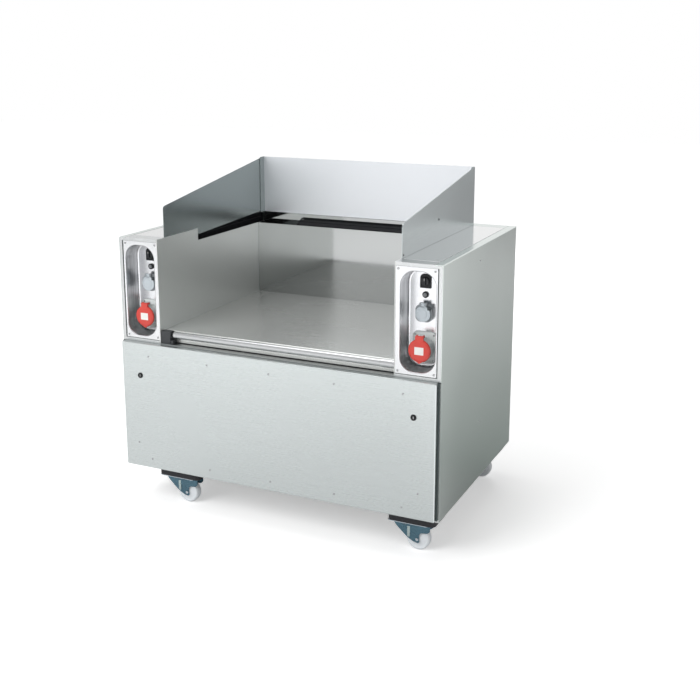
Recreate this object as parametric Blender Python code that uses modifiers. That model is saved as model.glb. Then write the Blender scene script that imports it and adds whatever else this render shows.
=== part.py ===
"""Mobile front-cooking station: a steel extraction cabinet on four casters.

Sizes are in metres, +Z is up, the front faces -Y, and the origin lies on the floor under the
middle of the whole object. Every sub-part is one named object.
"""

from math import cos, pi, radians, sin

import bmesh
import bpy
from mathutils import Matrix, Vector

# ---------------------------------------------------------------- overall sizes
WIDTH = 1.110
CABINET_DEPTH = 0.729
COUNTER_HEIGHT = 0.900
GUARD_RISE = 0.200       # rear of the splash guard above the counter

SHEET = 0.002            # steel sheet of every panel
TOUCH = 0.0003           # gap between faces that touch
SEAM = 0.0006            # visible joint between neighbouring covers

# ---------------------------------------------------------------- cabinet
PANEL_PROUD = 0.020      # how far the front panel stands in front of the cabinet
PANEL_SIDE_INSET = 0.0075
PANEL_TOP = 0.557
PANEL_LIFT = 0.007       # lower edge of the front panel above the cabinet's underside
TRAY_LIP = 0.030
TOP_FOLD = 0.025         # width of the side panel's fold on top
REAR_TOP_FOLD = 0.053
FRONT_TOP_FOLD = 0.045
COVER_REST = 0.025       # how far a lift-off cover lies on its rests

# ---------------------------------------------------------------- appliance bay
BAY_WIDTH = 0.816
BAY_FLOOR_HEIGHT = 0.600
BAY_FLOOR_FRONT = 0.026  # behind the cabinet front
BAY_NOSE = 0.038         # height of the floor's front fold
BAY_REAR_INSET = 0.084   # bay's rear wall in front of the cabinet's back
SLOT_HEIGHT = 0.040
SLOT_START = 0.238       # behind the cabinet front
SHELF_OPENING = 0.500
SHELF_MARGIN = 0.003
LEDGE_DEPTH = 0.029
RAIL_RADIUS = 0.011
RAIL_HEIGHT = 0.590
RAIL_SETBACK = 0.0125
BRACKET_WIDTH = 0.046
BRACKET_TOP = 0.6005

# ---------------------------------------------------------------- splash guard
GUARD_FRONT_SETBACK = 0.045
GUARD_FRONT_RISE = 0.100 # front corner of a wing above the counter
GUARD_REAR_INSET = 0.029
GUARD_RETURN = 0.030
GUARD_TAB = 0.035
GUARD_CORNER = 0.006

# ---------------------------------------------------------------- consoles
LIP = 0.010              # front frame round each console plate
CONSOLE_GAP = 0.0035
CONSOLE_REST_SETBACK = 0.003
CONSOLE_SHEET = 0.0015
RECESS_WIDTH = 0.110
RECESS_HEIGHT = 0.298
RECESS_RADIUS = 0.045
RECESS_DEPTH = 0.065
RECESS_TAPER = 0.002     # how much each wall leans in before the bottom curve
RECESS_BOTTOM_RADIUS = 0.006
RECESS_INSET = 0.076     # middle of the recess from the cabinet's side
RECESS_DROP = 0.1735     # and below the counter
CORNER_STEPS = 5

SWITCH_RISE = 0.110      # above the middle of the recess, as the heights below
SWITCH_WIDTH = 0.034
SWITCH_HEIGHT = 0.042
SWITCH_PLATE = 0.004
KNOB_RADIUS = 0.0125
KNOB_HEIGHT = 0.011
BUTTON_RISE = 0.0695
COLLAR_RADIUS = 0.0095
COLLAR_HEIGHT = 0.005
BUTTON_RADIUS = 0.0058
BUTTON_TRAVEL = 0.003
RUN_GAP = 0.0004         # round a part that turns or slides

SMALL_SOCKET_RISE = 0.0165
SMALL_SOCKET_SIZE = 0.052
SMALL_SOCKET_HEIGHT = 0.016
SMALL_WELL_RADIUS = 0.0195
SMALL_WELL_DEPTH = 0.013
SMALL_LID_THICKNESS = 0.004
SMALL_HINGE_RADIUS = 0.003

BIG_SOCKET_RISE = -0.0885
FLANGE_WIDTH = 0.074
FLANGE_HEIGHT = 0.094
FLANGE_THICKNESS = 0.005
FLANGE_RADIUS = 0.014
BARREL_RADIUS = 0.0315
BARREL_BORE = 0.0265
BARREL_LENGTH = 0.036
PIN_CIRCLE = 0.016
PIN_RADIUS = 0.003
PIN_COUNT = 5
BIG_LID_RADIUS = 0.0345
BIG_LID_THICKNESS = 0.008
BIG_HINGE_RISE = 0.0415  # hinge above the middle of the lid
BIG_HINGE_RADIUS = 0.0035
BIG_TAB_WIDTH = 0.026

# ---------------------------------------------------------------- panel locks
LOCK_INSET = 0.076       # from the cabinet's side
LOCK_DROP = 0.1095       # below the panel's top
LOCK_RADIUS = 0.0095
LOCK_HEAD = 0.003
LOCK_SHAFT = 0.006
CAM_LENGTH = 0.034
POST_FACE = 0.052        # width of the inner post that a lock grips
HOOK_WIDTH = 0.030
HOOK_REACH = 0.014

# ---------------------------------------------------------------- casters
CASTER_RIGHT_INSET = 0.102
CASTER_LEFT_INSET = 0.182
CASTER_SETBACK = 0.058   # swivel axis behind the cabinet front, and in front of its back
BLOCK_SIZE = (0.150, 0.110, 0.023)
BLOCK_OFFSET_X = 0.014
PLATE_SIZE = (0.128, 0.096)
PLATE_THICKNESS = 0.0025
WHEEL_RADIUS = 0.0375
WHEEL_WIDTH = 0.028
TRAIL = 0.020
KINGPIN_RADIUS = 0.006
HEAD_RADIUS = 0.044
LEG_TOP = (-0.057, 0.050) # how far a fork leg reaches ahead of and behind the swivel axis
HEAD_HEIGHT = 0.0137
HUB_RADIUS = 0.015
WHEEL_CLEARANCE = 0.0085
FLANGE_DROP = 0.003
NUT_THICKNESS = 0.005
BLOCK_EASE = 0.004
AXLE_RADIUS = 0.004
LEG_THICKNESS = 0.003
LEG_GAP = 0.0015
LEG_SHOULDER = 0.008     # depth of a leg's top edge below the swivel head
TIP_RADIUS = 0.010       # round the axle
THROAT_RADIUS = 0.010

# ---------------------------------------------------------------- inside
SCROLL_INSET = 0.315     # middle of the blower in front of the cabinet's back
SCROLL_HEIGHT = 0.330
SCROLL_RADIUS = 0.115
SCROLL_GROWTH = 0.055
SCROLL_X = (0.160, 0.290)
SCROLL_WALL = 0.003
INLET_RADIUS = 0.070
IMPELLER_RADIUS = 0.095
IMPELLER_WIDTH = 0.090
BLADE_COUNT = 12
MOTOR_RADIUS = 0.060
MOTOR_LENGTH = 0.110
SHAFT_RADIUS = 0.007
CASSETTE_SIZE = (0.380, 0.420, 0.300)
CASSETTE_SETBACK = 0.090
CASSETTE_MARGIN = 0.050
CARBON_PLATES = 5
GRIP_LENGTH = 0.120
GRIP_REACH = 0.018
GRIP_HEIGHT = 0.012
ELECTRIC_BOX_SIZE = (0.100, 0.240, 0.280)
ELECTRIC_BOX_MARGIN = 0.010
ELECTRIC_BOX_SETBACK = 0.200
GLAND_RADIUS = 0.014
GLAND_X = -0.230
GLAND_INSET = 0.075      # in front of the cabinet's back
LOUVRE_COUNT = 12
LOUVRE_WIDTH = 0.110
LOUVRE_HEIGHT = 0.0036
LOUVRE_PITCH = 0.012

# ---------------------------------------------------------------- screws
SCREW_RADIUS = 0.0035
SCREW_HEIGHT = 0.0016
SCREW_SIDES = 8
SIDE_SCREW_HIGH = (0.337, 0.049)   # behind the cabinet front, and below the counter
SIDE_SCREW_LOW = (0.373, 0.194)    # behind the cabinet front, and above the underside
WING_SCREW = (0.349, 0.0695)       # behind the cabinet front, and above the counter
REAR_SCREW_INSET = 0.055
REAR_SCREW_MIDDLE = 0.135
REAR_SCREW_LOW = 0.047
REAR_SCREW_DROP = 0.040
PANEL_SCREW_COUNT = 5
PANEL_SCREW_INSET = 0.110
PANEL_SCREW_LOW = 0.0315
PANEL_SCREW_DROP = 0.0425
EXTRA_SCREW = (0.0595, 0.083)      # from the cabinet's side, and above the panel's bottom
CONSOLE_SCREW_INSET = 0.008

# ---------------------------------------------------------------- worked out from these
DEPTH = LOCK_HEAD + TOUCH + PANEL_PROUD + CABINET_DEPTH + SCREW_HEIGHT
FACE_Y = -DEPTH / 2 + LOCK_HEAD + TOUCH
FRONT_Y = FACE_Y + PANEL_PROUD
BACK_Y = FRONT_Y + CABINET_DEPTH
HALF = WIDTH / 2
INNER_HALF = HALF - SHEET - TOUCH
BAY_HALF = BAY_WIDTH / 2
BAY_OUT = BAY_HALF + SHEET
BAY_REAR_Y = BACK_Y - BAY_REAR_INSET
SLOT_LOW = COUNTER_HEIGHT - SLOT_HEIGHT
GUARD_REAR_Y = BACK_Y - GUARD_REAR_INSET
WHEEL_TOP = 2 * WHEEL_RADIUS
HEAD_LOW = WHEEL_TOP + WHEEL_CLEARANCE
CASTER_HEIGHT = HEAD_LOW + HEAD_HEIGHT + TOUCH + PLATE_THICKNESS
UNDERSIDE_HEIGHT = CASTER_HEIGHT + BLOCK_SIZE[2]
TRAY_TOP = UNDERSIDE_HEIGHT + SHEET
PANEL_BOTTOM = UNDERSIDE_HEIGHT + PANEL_LIFT
SIDES = (("left", -1), ("right", 1))
COVER_NEAR = BAY_OUT + TOUCH + SHEET + SEAM
CONSOLE_BACK_Y = FRONT_Y + RECESS_DEPTH
POST_TOP = PANEL_TOP - 2 * TOUCH - SHEET
RECESS_CENTRE_X = HALF - RECESS_INSET
RECESS_CENTRE_Z = COUNTER_HEIGHT - RECESS_DROP
SWITCH_Z = RECESS_CENTRE_Z + SWITCH_RISE
BUTTON_Z = RECESS_CENTRE_Z + BUTTON_RISE
SMALL_SOCKET_Z = RECESS_CENTRE_Z + SMALL_SOCKET_RISE
BIG_SOCKET_Z = RECESS_CENTRE_Z + BIG_SOCKET_RISE
LOCK_X = HALF - LOCK_INSET
LOCK_Z = PANEL_TOP - LOCK_DROP
GUARD_HEIGHT = COUNTER_HEIGHT + GUARD_RISE
GUARD_FRONT_HEIGHT = COUNTER_HEIGHT + GUARD_FRONT_RISE
SCROLL_CENTRE = (BACK_Y - SCROLL_INSET, SCROLL_HEIGHT)

STEEL = ((0.62, 0.63, 0.63), 0.32, 1.0)
BRIGHT = ((0.74, 0.75, 0.76), 0.22, 1.0)
ZINC = ((0.42, 0.50, 0.55), 0.38, 1.0)
BLACK = ((0.015, 0.017, 0.018), 0.55, 0.0)
DARK = ((0.05, 0.055, 0.06), 0.45, 0.0)
GREY = ((0.52, 0.54, 0.56), 0.42, 0.0)
PALE = ((0.78, 0.80, 0.79), 0.45, 0.0)
RED = ((0.72, 0.06, 0.05), 0.38, 0.0)
NYLON = ((0.80, 0.83, 0.86), 0.50, 0.0)
PAINT = ((0.10, 0.16, 0.22), 0.45, 0.0)

parts = bpy.data.collections.new("front_cooking_station")
tools = bpy.data.collections.new("cutters")
_materials = {}


# ================================================================ helpers
def clear_scene():
    """Remove what the scene holds and link the two collections."""
    for old in list(bpy.data.objects):
        bpy.data.objects.remove(old)
    for collection in (parts, tools):
        bpy.context.scene.collection.children.link(collection)


def material(name, look):
    """One Principled material for each sub-part."""
    if name not in _materials:
        made = bpy.data.materials.new(name)
        made.use_nodes = True
        shader = made.node_tree.nodes["Principled BSDF"]
        colour, roughness, metallic = look
        shader.inputs["Base Color"].default_value = (*colour, 1.0)
        shader.inputs["Roughness"].default_value = roughness
        shader.inputs["Metallic"].default_value = metallic
        _materials[name] = made
    return _materials[name]


def finish(name, bm, look, smooth=False):
    """Turn a bmesh into a linked object with its material."""
    mesh = bpy.data.meshes.new(name)
    bm.to_mesh(mesh)
    bm.free()
    mesh.materials.append(material(name, look))
    if smooth:
        mesh.shade_smooth()
        mesh.set_sharp_from_angle(angle=radians(35))
    obj = bpy.data.objects.new(name, mesh)
    parts.objects.link(obj)
    return obj


def add_box(bm, low, high):
    """Add a box between two corners to a bmesh, and give its vertices."""
    made = bmesh.ops.create_cube(bm, size=1.0)["verts"]
    size = Vector(high) - Vector(low)
    bmesh.ops.scale(bm, vec=size, verts=made)
    bmesh.ops.translate(bm, vec=(Vector(high) + Vector(low)) / 2, verts=made)
    return made


def turn_to(axis):
    """The rotation that lays +Z along an axis named X, Y or Z."""
    if axis == "X":
        return Matrix.Rotation(pi / 2, 4, "Y")
    if axis == "Y":
        return Matrix.Rotation(-pi / 2, 4, "X")
    return Matrix.Identity(4)


def add_cylinder(bm, centre, radius, length, axis="Z", segments=20, far_radius=None):
    """Add a capped cylinder or cone about an axis to a bmesh, and give its vertices."""
    place = Matrix.Translation(centre) @ turn_to(axis)
    made = bmesh.ops.create_cone(
        bm, cap_ends=True, segments=segments, radius1=radius,
        radius2=radius if far_radius is None else far_radius, depth=length, matrix=place)
    return made["verts"]


def box(name, low, high, look, bevel=0.0):
    """A box object, with its edges eased when bevel is above 0."""
    bm = bmesh.new()
    add_box(bm, low, high)
    obj = finish(name, bm, look)
    if bevel > 0:
        ease(obj, bevel)
    return obj


def cylinder(name, centre, radius, length, axis, look, segments=20, far_radius=None):
    """A cylinder or cone object about an axis."""
    bm = bmesh.new()
    add_cylinder(bm, centre, radius, length, axis, segments, far_radius)
    return finish(name, bm, look, smooth=True)


def ease(obj, width, segments=1):
    """Ease an object's sharp edges."""
    bevel = obj.modifiers.new("ease", "BEVEL")
    bevel.width = width
    bevel.segments = segments
    bevel.limit_method = "ANGLE"
    bevel.angle_limit = radians(40)
    bevel.use_clamp_overlap = True


def put_away(tool):
    """Move a tool object to the cutters, out of the model."""
    for collection in list(tool.users_collection):
        collection.objects.unlink(tool)
    tools.objects.link(tool)
    tool.hide_render = True
    tool.display_type = "WIRE"


def combine(obj, tool, operation):
    """Join or cut an object with a tool object."""
    put_away(tool)
    step = obj.modifiers.new(operation.lower(), "BOOLEAN")
    step.operation = operation
    step.object = tool
    step.solver = "EXACT"
    return obj


def join(obj, tool):
    """Weld a tool's volume to an object."""
    return combine(obj, tool, "UNION")


def cut(obj, tool):
    """Take a tool's volume out of an object."""
    return combine(obj, tool, "DIFFERENCE")


def add_heads(sheet, places, axis, direction):
    """Weld the heads of a sheet's own screws to its face, each standing out along an axis."""
    sunk = SHEET / 2
    outward = Vector([1.0 if name == axis else 0.0 for name in "XYZ"]) * direction
    near, far = SCREW_RADIUS, SCREW_RADIUS * 0.7
    if direction < 0:
        near, far = far, near
    heads = bmesh.new()
    for place in places:
        centre = Vector(place) + outward * (SCREW_HEIGHT - sunk) / 2
        add_cylinder(heads, centre, near, SCREW_HEIGHT + sunk, axis, SCREW_SIDES, far)
    join(sheet, finish(sheet.name + "_screws", heads, BRIGHT))


def set_origin(obj, point):
    """Move an object's origin to a point without moving its shape."""
    obj.data.transform(Matrix.Translation(-Vector(point)))
    obj.location = point


def mirror_range(side, near, far):
    """The span from near to far on one side of the middle plane, low value first."""
    return tuple(sorted((side * near, side * far)))


def side_box(name, side, near, far, y_span, z_span, look, bevel=0.0):
    """A box between two distances from the middle plane, on one side of it."""
    low_x, high_x = mirror_range(side, near, far)
    return box(name, (low_x, y_span[0], z_span[0]), (high_x, y_span[1], z_span[1]), look, bevel)


def arc(centre, radius, start, end, steps):
    """Points along an arc, in degrees, ends included."""
    angles = [radians(start + (end - start) * k / steps) for k in range(steps + 1)]
    return [(centre[0] + radius * cos(a), centre[1] + radius * sin(a)) for a in angles]


def rounded_rectangle(width, height, radius, steps=CORNER_STEPS):
    """Points of a rounded rectangle about the origin, turning left."""
    half_w, half_h = width / 2 - radius, height / 2 - radius
    corners = ((half_w, half_h, 0), (-half_w, half_h, 90),
               (-half_w, -half_h, 180), (half_w, -half_h, 270))
    points = []
    for x, z, start in corners:
        points += arc((x, z), radius, start, start + 90, steps)
    return points


PLANES = {
    "XY": Matrix.Identity(4),
    "XZ": Matrix(((1, 0, 0, 0), (0, 0, -1, 0), (0, 1, 0, 0), (0, 0, 0, 1))),
    "YZ": Matrix(((0, 0, 1, 0), (1, 0, 0, 0), (0, 1, 0, 0), (0, 0, 0, 1))),
}


def slab(name, outlines, thickness, plane, offset, look, bevel=0.0):
    """A flat plate: filled outlines in a plane, as thick as asked and centred on an offset.

    An outline inside another one is a hole.
    """
    curve = bpy.data.curves.new(name, "CURVE")
    curve.dimensions = "2D"
    curve.fill_mode = "BOTH"
    curve.extrude = thickness / 2
    for outline in outlines:
        spline = curve.splines.new("POLY")
        spline.points.add(len(outline) - 1)
        for point, (a, b) in zip(spline.points, outline):
            point.co = (a, b, 0, 1)
        spline.use_cyclic_u = True
    drawn = bpy.data.objects.new(name + "_outline", curve)
    bpy.context.scene.collection.objects.link(drawn)
    graph = bpy.context.evaluated_depsgraph_get()
    mesh = bpy.data.meshes.new_from_object(drawn.evaluated_get(graph))
    bpy.data.objects.remove(drawn)
    bm = bmesh.new()
    bm.from_mesh(mesh)
    bpy.data.meshes.remove(mesh)
    bmesh.ops.remove_doubles(bm, verts=bm.verts, dist=0.00001)
    bmesh.ops.transform(bm, matrix=PLANES[plane], verts=bm.verts)
    axis = {"XY": (0, 0, 1), "XZ": (0, 1, 0), "YZ": (1, 0, 0)}[plane]
    bmesh.ops.translate(bm, vec=Vector(axis) * offset, verts=bm.verts)
    bmesh.ops.recalc_face_normals(bm, faces=bm.faces)
    obj = finish(name, bm, look)
    if bevel > 0:
        ease(obj, bevel)
    return obj


def folded_sheet(name, path, plane, span, look, inward=True, thickness=SHEET):
    """A folded sheet: an open line in a plane, drawn out over a span and thickened.

    The line is the outer face when inward is true, seen with the line turning left.
    """
    bm = bmesh.new()
    verts = [bm.verts.new((a, b, span[0])) for a, b in path]
    edges = [bm.edges.new(pair) for pair in zip(verts, verts[1:])]
    drawn = bmesh.ops.extrude_edge_only(bm, edges=edges)["geom"]
    moved = [item for item in drawn if isinstance(item, bmesh.types.BMVert)]
    bmesh.ops.translate(bm, vec=(0, 0, span[1] - span[0]), verts=moved)
    bmesh.ops.transform(bm, matrix=PLANES[plane], verts=bm.verts)
    if plane == "XZ":
        bmesh.ops.scale(bm, vec=(1, -1, 1), verts=bm.verts)
        inward = not inward
    bm.normal_update()
    if not inward:
        bmesh.ops.reverse_faces(bm, faces=bm.faces)
    obj = finish(name, bm, look)
    wall = obj.modifiers.new("wall", "SOLIDIFY")
    wall.thickness = thickness
    wall.offset = -1.0
    wall.use_even_offset = True
    return obj


def turned(name, profile, steps, look, closed=False):
    """A turned shape about Z: (radius, height) points down its outer side, then a Screw."""
    bm = bmesh.new()
    verts = [bm.verts.new((r, 0, z)) for r, z in profile]
    pairs = list(zip(verts, verts[1:]))
    if closed:
        pairs.append((verts[-1], verts[0]))
    for pair in pairs:
        bm.edges.new(pair)
    obj = finish(name, bm, look, smooth=True)
    screw = obj.modifiers.new("turn", "SCREW")
    screw.steps = steps
    screw.render_steps = steps
    screw.use_merge_vertices = True
    screw.merge_threshold = 0.00001
    screw.use_smooth_shade = True
    return obj


# ================================================================ cabinet
def make_base_tray():
    """The floor tray of the cabinet, open at the top, with the cable gland's hole."""
    bm = bmesh.new()
    low = (-INNER_HALF, FRONT_Y + TOUCH, UNDERSIDE_HEIGHT)
    high = (INNER_HALF, BACK_Y - SHEET - TOUCH, UNDERSIDE_HEIGHT + TRAY_LIP)
    add_box(bm, low, high)
    top = [face for face in bm.faces if face.normal.z > 0.5]
    bmesh.ops.delete(bm, geom=top, context="FACES")
    tray = finish("base_tray", bm, STEEL)
    wall = tray.modifiers.new("wall", "SOLIDIFY")
    wall.thickness = SHEET
    wall.offset = -1.0
    wall.use_even_offset = True
    hole = cylinder("gland_hole", (GLAND_X, BACK_Y - GLAND_INSET, TRAY_TOP), GLAND_RADIUS * 0.7 + TOUCH,
                    SHEET * 4, "Z", STEEL)
    return cut(tray, hole)


def make_side_panels():
    """The two outer side skins, folded in at the top, with their screws."""
    for label, side in SIDES:
        path = [(side * HALF, UNDERSIDE_HEIGHT), (side * HALF, COUNTER_HEIGHT),
                (side * (HALF - TOP_FOLD), COUNTER_HEIGHT)]
        panel = folded_sheet(f"side_panel_{label}", path, "XZ", (FRONT_Y, BACK_Y - SHEET - TOUCH),
                             STEEL, inward=side < 0)
        places = [(side * HALF, FRONT_Y + SIDE_SCREW_HIGH[0], COUNTER_HEIGHT - SIDE_SCREW_HIGH[1]),
                  (side * HALF, FRONT_Y + SIDE_SCREW_LOW[0], UNDERSIDE_HEIGHT + SIDE_SCREW_LOW[1])]
        add_heads(panel, places, "X", side)


def make_rear_panel():
    """The rear skin with its top fold, the rests of the covers, and the outlet louvres."""
    panel = box("rear_panel", (-HALF, BACK_Y - SHEET, UNDERSIDE_HEIGHT),
                (HALF, BACK_Y, COUNTER_HEIGHT), STEEL)
    fold_half = HALF - TOP_FOLD - SEAM
    join(panel, box("rear_fold", (-fold_half, GUARD_REAR_Y + SEAM, COUNTER_HEIGHT - SHEET),
                    (fold_half, BACK_Y - SHEET / 2, COUNTER_HEIGHT), STEEL))
    rest_y = BACK_Y - REAR_TOP_FOLD
    for label, side in SIDES:
        join(panel, side_box(f"rear_fold_{label}", side, COVER_NEAR, fold_half,
                             (rest_y, BACK_Y - SHEET / 2),
                             (COUNTER_HEIGHT - SHEET, COUNTER_HEIGHT), STEEL))
        join(panel, side_box(f"rear_rest_{label}", side, BAY_OUT + 2 * SHEET, fold_half - SEAM,
                             (rest_y - COVER_REST, rest_y + COVER_REST),
                             (COUNTER_HEIGHT - 2 * SHEET - TOUCH, COUNTER_HEIGHT - SHEET - TOUCH),
                             STEEL))
        join(panel, side_box(f"rear_step_{label}", side, BAY_OUT + 2 * SHEET, fold_half - SEAM,
                             (rest_y + SEAM, rest_y + COVER_REST),
                             (COUNTER_HEIGHT - 2 * SHEET - TOUCH, COUNTER_HEIGHT - SHEET / 2),
                             STEEL))
    bm = bmesh.new()
    middle = sum(SCROLL_X) / 2
    first = UNDERSIDE_HEIGHT + TRAY_LIP + LOUVRE_PITCH
    for k in range(LOUVRE_COUNT):
        z = first + k * LOUVRE_PITCH
        add_box(bm, (middle - LOUVRE_WIDTH / 2, BACK_Y - 5 * SHEET, z),
                (middle + LOUVRE_WIDTH / 2, BACK_Y + SHEET, z + LOUVRE_HEIGHT))
    cut(panel, finish("louvre_cutter", bm, STEEL))
    outer = HALF - REAR_SCREW_INSET
    columns = (-outer, -REAR_SCREW_MIDDLE, REAR_SCREW_MIDDLE, outer)
    rows = (UNDERSIDE_HEIGHT + REAR_SCREW_LOW, COUNTER_HEIGHT - REAR_SCREW_DROP)
    add_heads(panel, [(x, BACK_Y, z) for x in columns for z in rows], "Y", 1)


def make_pillar_fronts():
    """The front frame of each pillar: a rebate for the console, lips round it, a top fold."""
    rest = FRONT_Y + CONSOLE_REST_SETBACK
    under_fold = COUNTER_HEIGHT - SHEET - TOUCH
    for label, side in SIDES:
        near, far = BAY_OUT + TOUCH, INNER_HALF
        fold_out = HALF - TOP_FOLD - SEAM
        frame = side_box(f"pillar_front_{label}", side, near, far, (rest, rest + SHEET),
                         (PANEL_TOP, under_fold), STEEL)
        y_lip = (FRONT_Y, rest + SHEET / 2)
        join(frame, side_box(f"lip_outer_{label}", side, far - LIP, far, y_lip,
                             (PANEL_TOP, under_fold), STEEL))
        join(frame, side_box(f"lip_low_{label}", side, near, far - LIP / 2, y_lip,
                             (PANEL_TOP, PANEL_TOP + LIP), STEEL))
        join(frame, side_box(f"lip_top_{label}", side, near, fold_out, (FRONT_Y, rest + SHEET),
                             (COUNTER_HEIGHT - LIP, COUNTER_HEIGHT), STEEL))
        join(frame, side_box(f"lip_corner_{label}", side, fold_out - SHEET, far - LIP / 2, y_lip,
                             (COUNTER_HEIGHT - LIP, under_fold), STEEL))
        join(frame, side_box(f"front_fold_{label}", side, near, fold_out,
                             (FRONT_Y + SHEET / 2, FRONT_Y + FRONT_TOP_FOLD),
                             (COUNTER_HEIGHT - SHEET, COUNTER_HEIGHT), STEEL))
        seat_y = FRONT_Y + FRONT_TOP_FOLD
        join(frame, side_box(f"front_rest_{label}", side, BAY_OUT + 2 * SHEET, fold_out - SEAM,
                             (seat_y - COVER_REST, seat_y + COVER_REST),
                             (COUNTER_HEIGHT - 2 * SHEET - TOUCH, COUNTER_HEIGHT - SHEET - TOUCH),
                             STEEL))
        join(frame, side_box(f"front_step_{label}", side, BAY_OUT + 2 * SHEET, fold_out - SEAM,
                             (seat_y - COVER_REST, seat_y - SEAM),
                             (COUNTER_HEIGHT - 2 * SHEET - TOUCH, COUNTER_HEIGHT - SHEET / 2),
                             STEEL))
        clearance = CONSOLE_SHEET + 2 * SHEET
        hole = rounded_rectangle(RECESS_WIDTH + 2 * clearance, RECESS_HEIGHT + 2 * clearance,
                                 RECESS_RADIUS + clearance)
        hole = [(side * RECESS_CENTRE_X + x, RECESS_CENTRE_Z + z) for x, z in hole]
        cut(frame, slab(f"recess_hole_{label}", [hole], 8 * SHEET, "XZ", rest, STEEL))


def make_top_covers():
    """The two lift-off covers on top of the pillars."""
    front = FRONT_Y + FRONT_TOP_FOLD + SEAM
    back = BACK_Y - REAR_TOP_FOLD - SEAM
    for label, side in SIDES:
        cover = side_box(f"top_cover_{label}", side, COVER_NEAR,
                         HALF - TOP_FOLD - SEAM, (front, back),
                         (COUNTER_HEIGHT - SHEET, COUNTER_HEIGHT), STEEL)
        centre = ((BAY_OUT + HALF - TOP_FOLD) / 2 * side, (front + back) / 2, COUNTER_HEIGHT)
        set_origin(cover, centre)


def make_front_posts():
    """The inner posts beside the lower opening: the panel hangs on their hooks, a lock grips each."""
    low, high = UNDERSIDE_HEIGHT + TRAY_LIP + TOUCH, POST_TOP
    face = (FRONT_Y + TOUCH, FRONT_Y + TOUCH + SHEET)
    hook_end = HALF - PANEL_SIDE_INSET - 2 * SHEET
    for label, side in SIDES:
        post = side_box(f"front_post_{label}", side, INNER_HALF - POST_FACE, INNER_HALF, face,
                        (low, high), STEEL)
        join(post, side_box(f"post_leg_{label}", side, INNER_HALF - SHEET, INNER_HALF,
                            (face[0] + SHEET / 2, FRONT_Y + LEDGE_DEPTH), (low, high), STEEL))
        join(post, side_box(f"post_hook_{label}", side, hook_end - HOOK_WIDTH, hook_end,
                            (face[0] - HOOK_REACH, face[1]), (high - 2 * SHEET, high), STEEL))


# ================================================================ appliance bay
def make_bay_walls():
    """The bay's two side walls, each cut down along its suction slot."""
    front, rear = FRONT_Y, GUARD_REAR_Y
    low = PANEL_TOP + TOUCH
    outline = [(front, low), (rear, low), (rear, SLOT_LOW),
               (front + SLOT_START, SLOT_LOW), (front + SLOT_START, COUNTER_HEIGHT),
               (front, COUNTER_HEIGHT)]
    for label, side in SIDES:
        slab(f"bay_wall_{label}", [outline], SHEET, "YZ", side * (BAY_HALF + SHEET / 2), STEEL)


def make_bay_floor():
    """The bay's floor plate with its front fold."""
    half = BAY_HALF - TOUCH
    front = FRONT_Y + BAY_FLOOR_FRONT
    floor = box("bay_floor", (-half, front, BAY_FLOOR_HEIGHT - SHEET),
                (half, BAY_REAR_Y - SEAM, BAY_FLOOR_HEIGHT), STEEL)
    return join(floor, box("floor_nose", (-half, front, BAY_FLOOR_HEIGHT - BAY_NOSE),
                           (half, front + SHEET, BAY_FLOOR_HEIGHT - SHEET / 2), STEEL))


def make_bay_rear():
    """The bay's rear sheet: a wall, folded back to a shelf with the suction opening, then up."""
    half = BAY_HALF - TOUCH
    front, back = BAY_REAR_Y, GUARD_REAR_Y
    wall = box("bay_wall_rear", (-half, front, BAY_FLOOR_HEIGHT - BAY_NOSE),
               (half, front + SHEET, SLOT_LOW), BRIGHT)
    join(wall, box("duct_shelf", (-half, front + SHEET / 2, SLOT_LOW - SHEET),
                   (half, back, SLOT_LOW), BRIGHT))
    join(wall, box("duct_upright", (-half, back - SHEET, SLOT_LOW - SHEET / 2),
                   (half, back, COUNTER_HEIGHT - GUARD_CORNER), BRIGHT))
    return cut(wall, box("duct_opening",
                         (-SHELF_OPENING / 2, front + SHEET + SHELF_MARGIN, SLOT_LOW - 4 * SHEET),
                         (SHELF_OPENING / 2, back - SHEET - SHELF_MARGIN, SLOT_LOW + SHEET), BRIGHT))


def make_ledge_and_rail():
    """The ledge above the front panel, the round rail and its two end brackets."""
    half = BAY_HALF - TOUCH
    ledge_top = PANEL_TOP + TOUCH + SHEET
    ledge = box("front_ledge", (-half, FRONT_Y, PANEL_TOP + TOUCH),
                (half, FRONT_Y + LEDGE_DEPTH, ledge_top), STEEL)
    join(ledge, box("ledge_fold", (-half, FRONT_Y + LEDGE_DEPTH - SHEET, PANEL_TOP - LIP),
                    (half, FRONT_Y + LEDGE_DEPTH, ledge_top - SHEET / 2), STEEL))
    rail_y = FRONT_Y + RAIL_SETBACK
    inner = half - BRACKET_WIDTH
    cylinder("front_rail", (0, rail_y, RAIL_HEIGHT), RAIL_RADIUS, 2 * inner - 2 * TOUCH,
             "X", BRIGHT, segments=24)
    for label, side in SIDES:
        side_box(f"rail_bracket_{label}", side, inner, half - TOUCH,
                 (FRONT_Y + SHEET / 2, FRONT_Y + BAY_FLOOR_FRONT - TOUCH),
                 (ledge_top + TOUCH, BRACKET_TOP), DARK, bevel=SHEET / 2)


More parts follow.
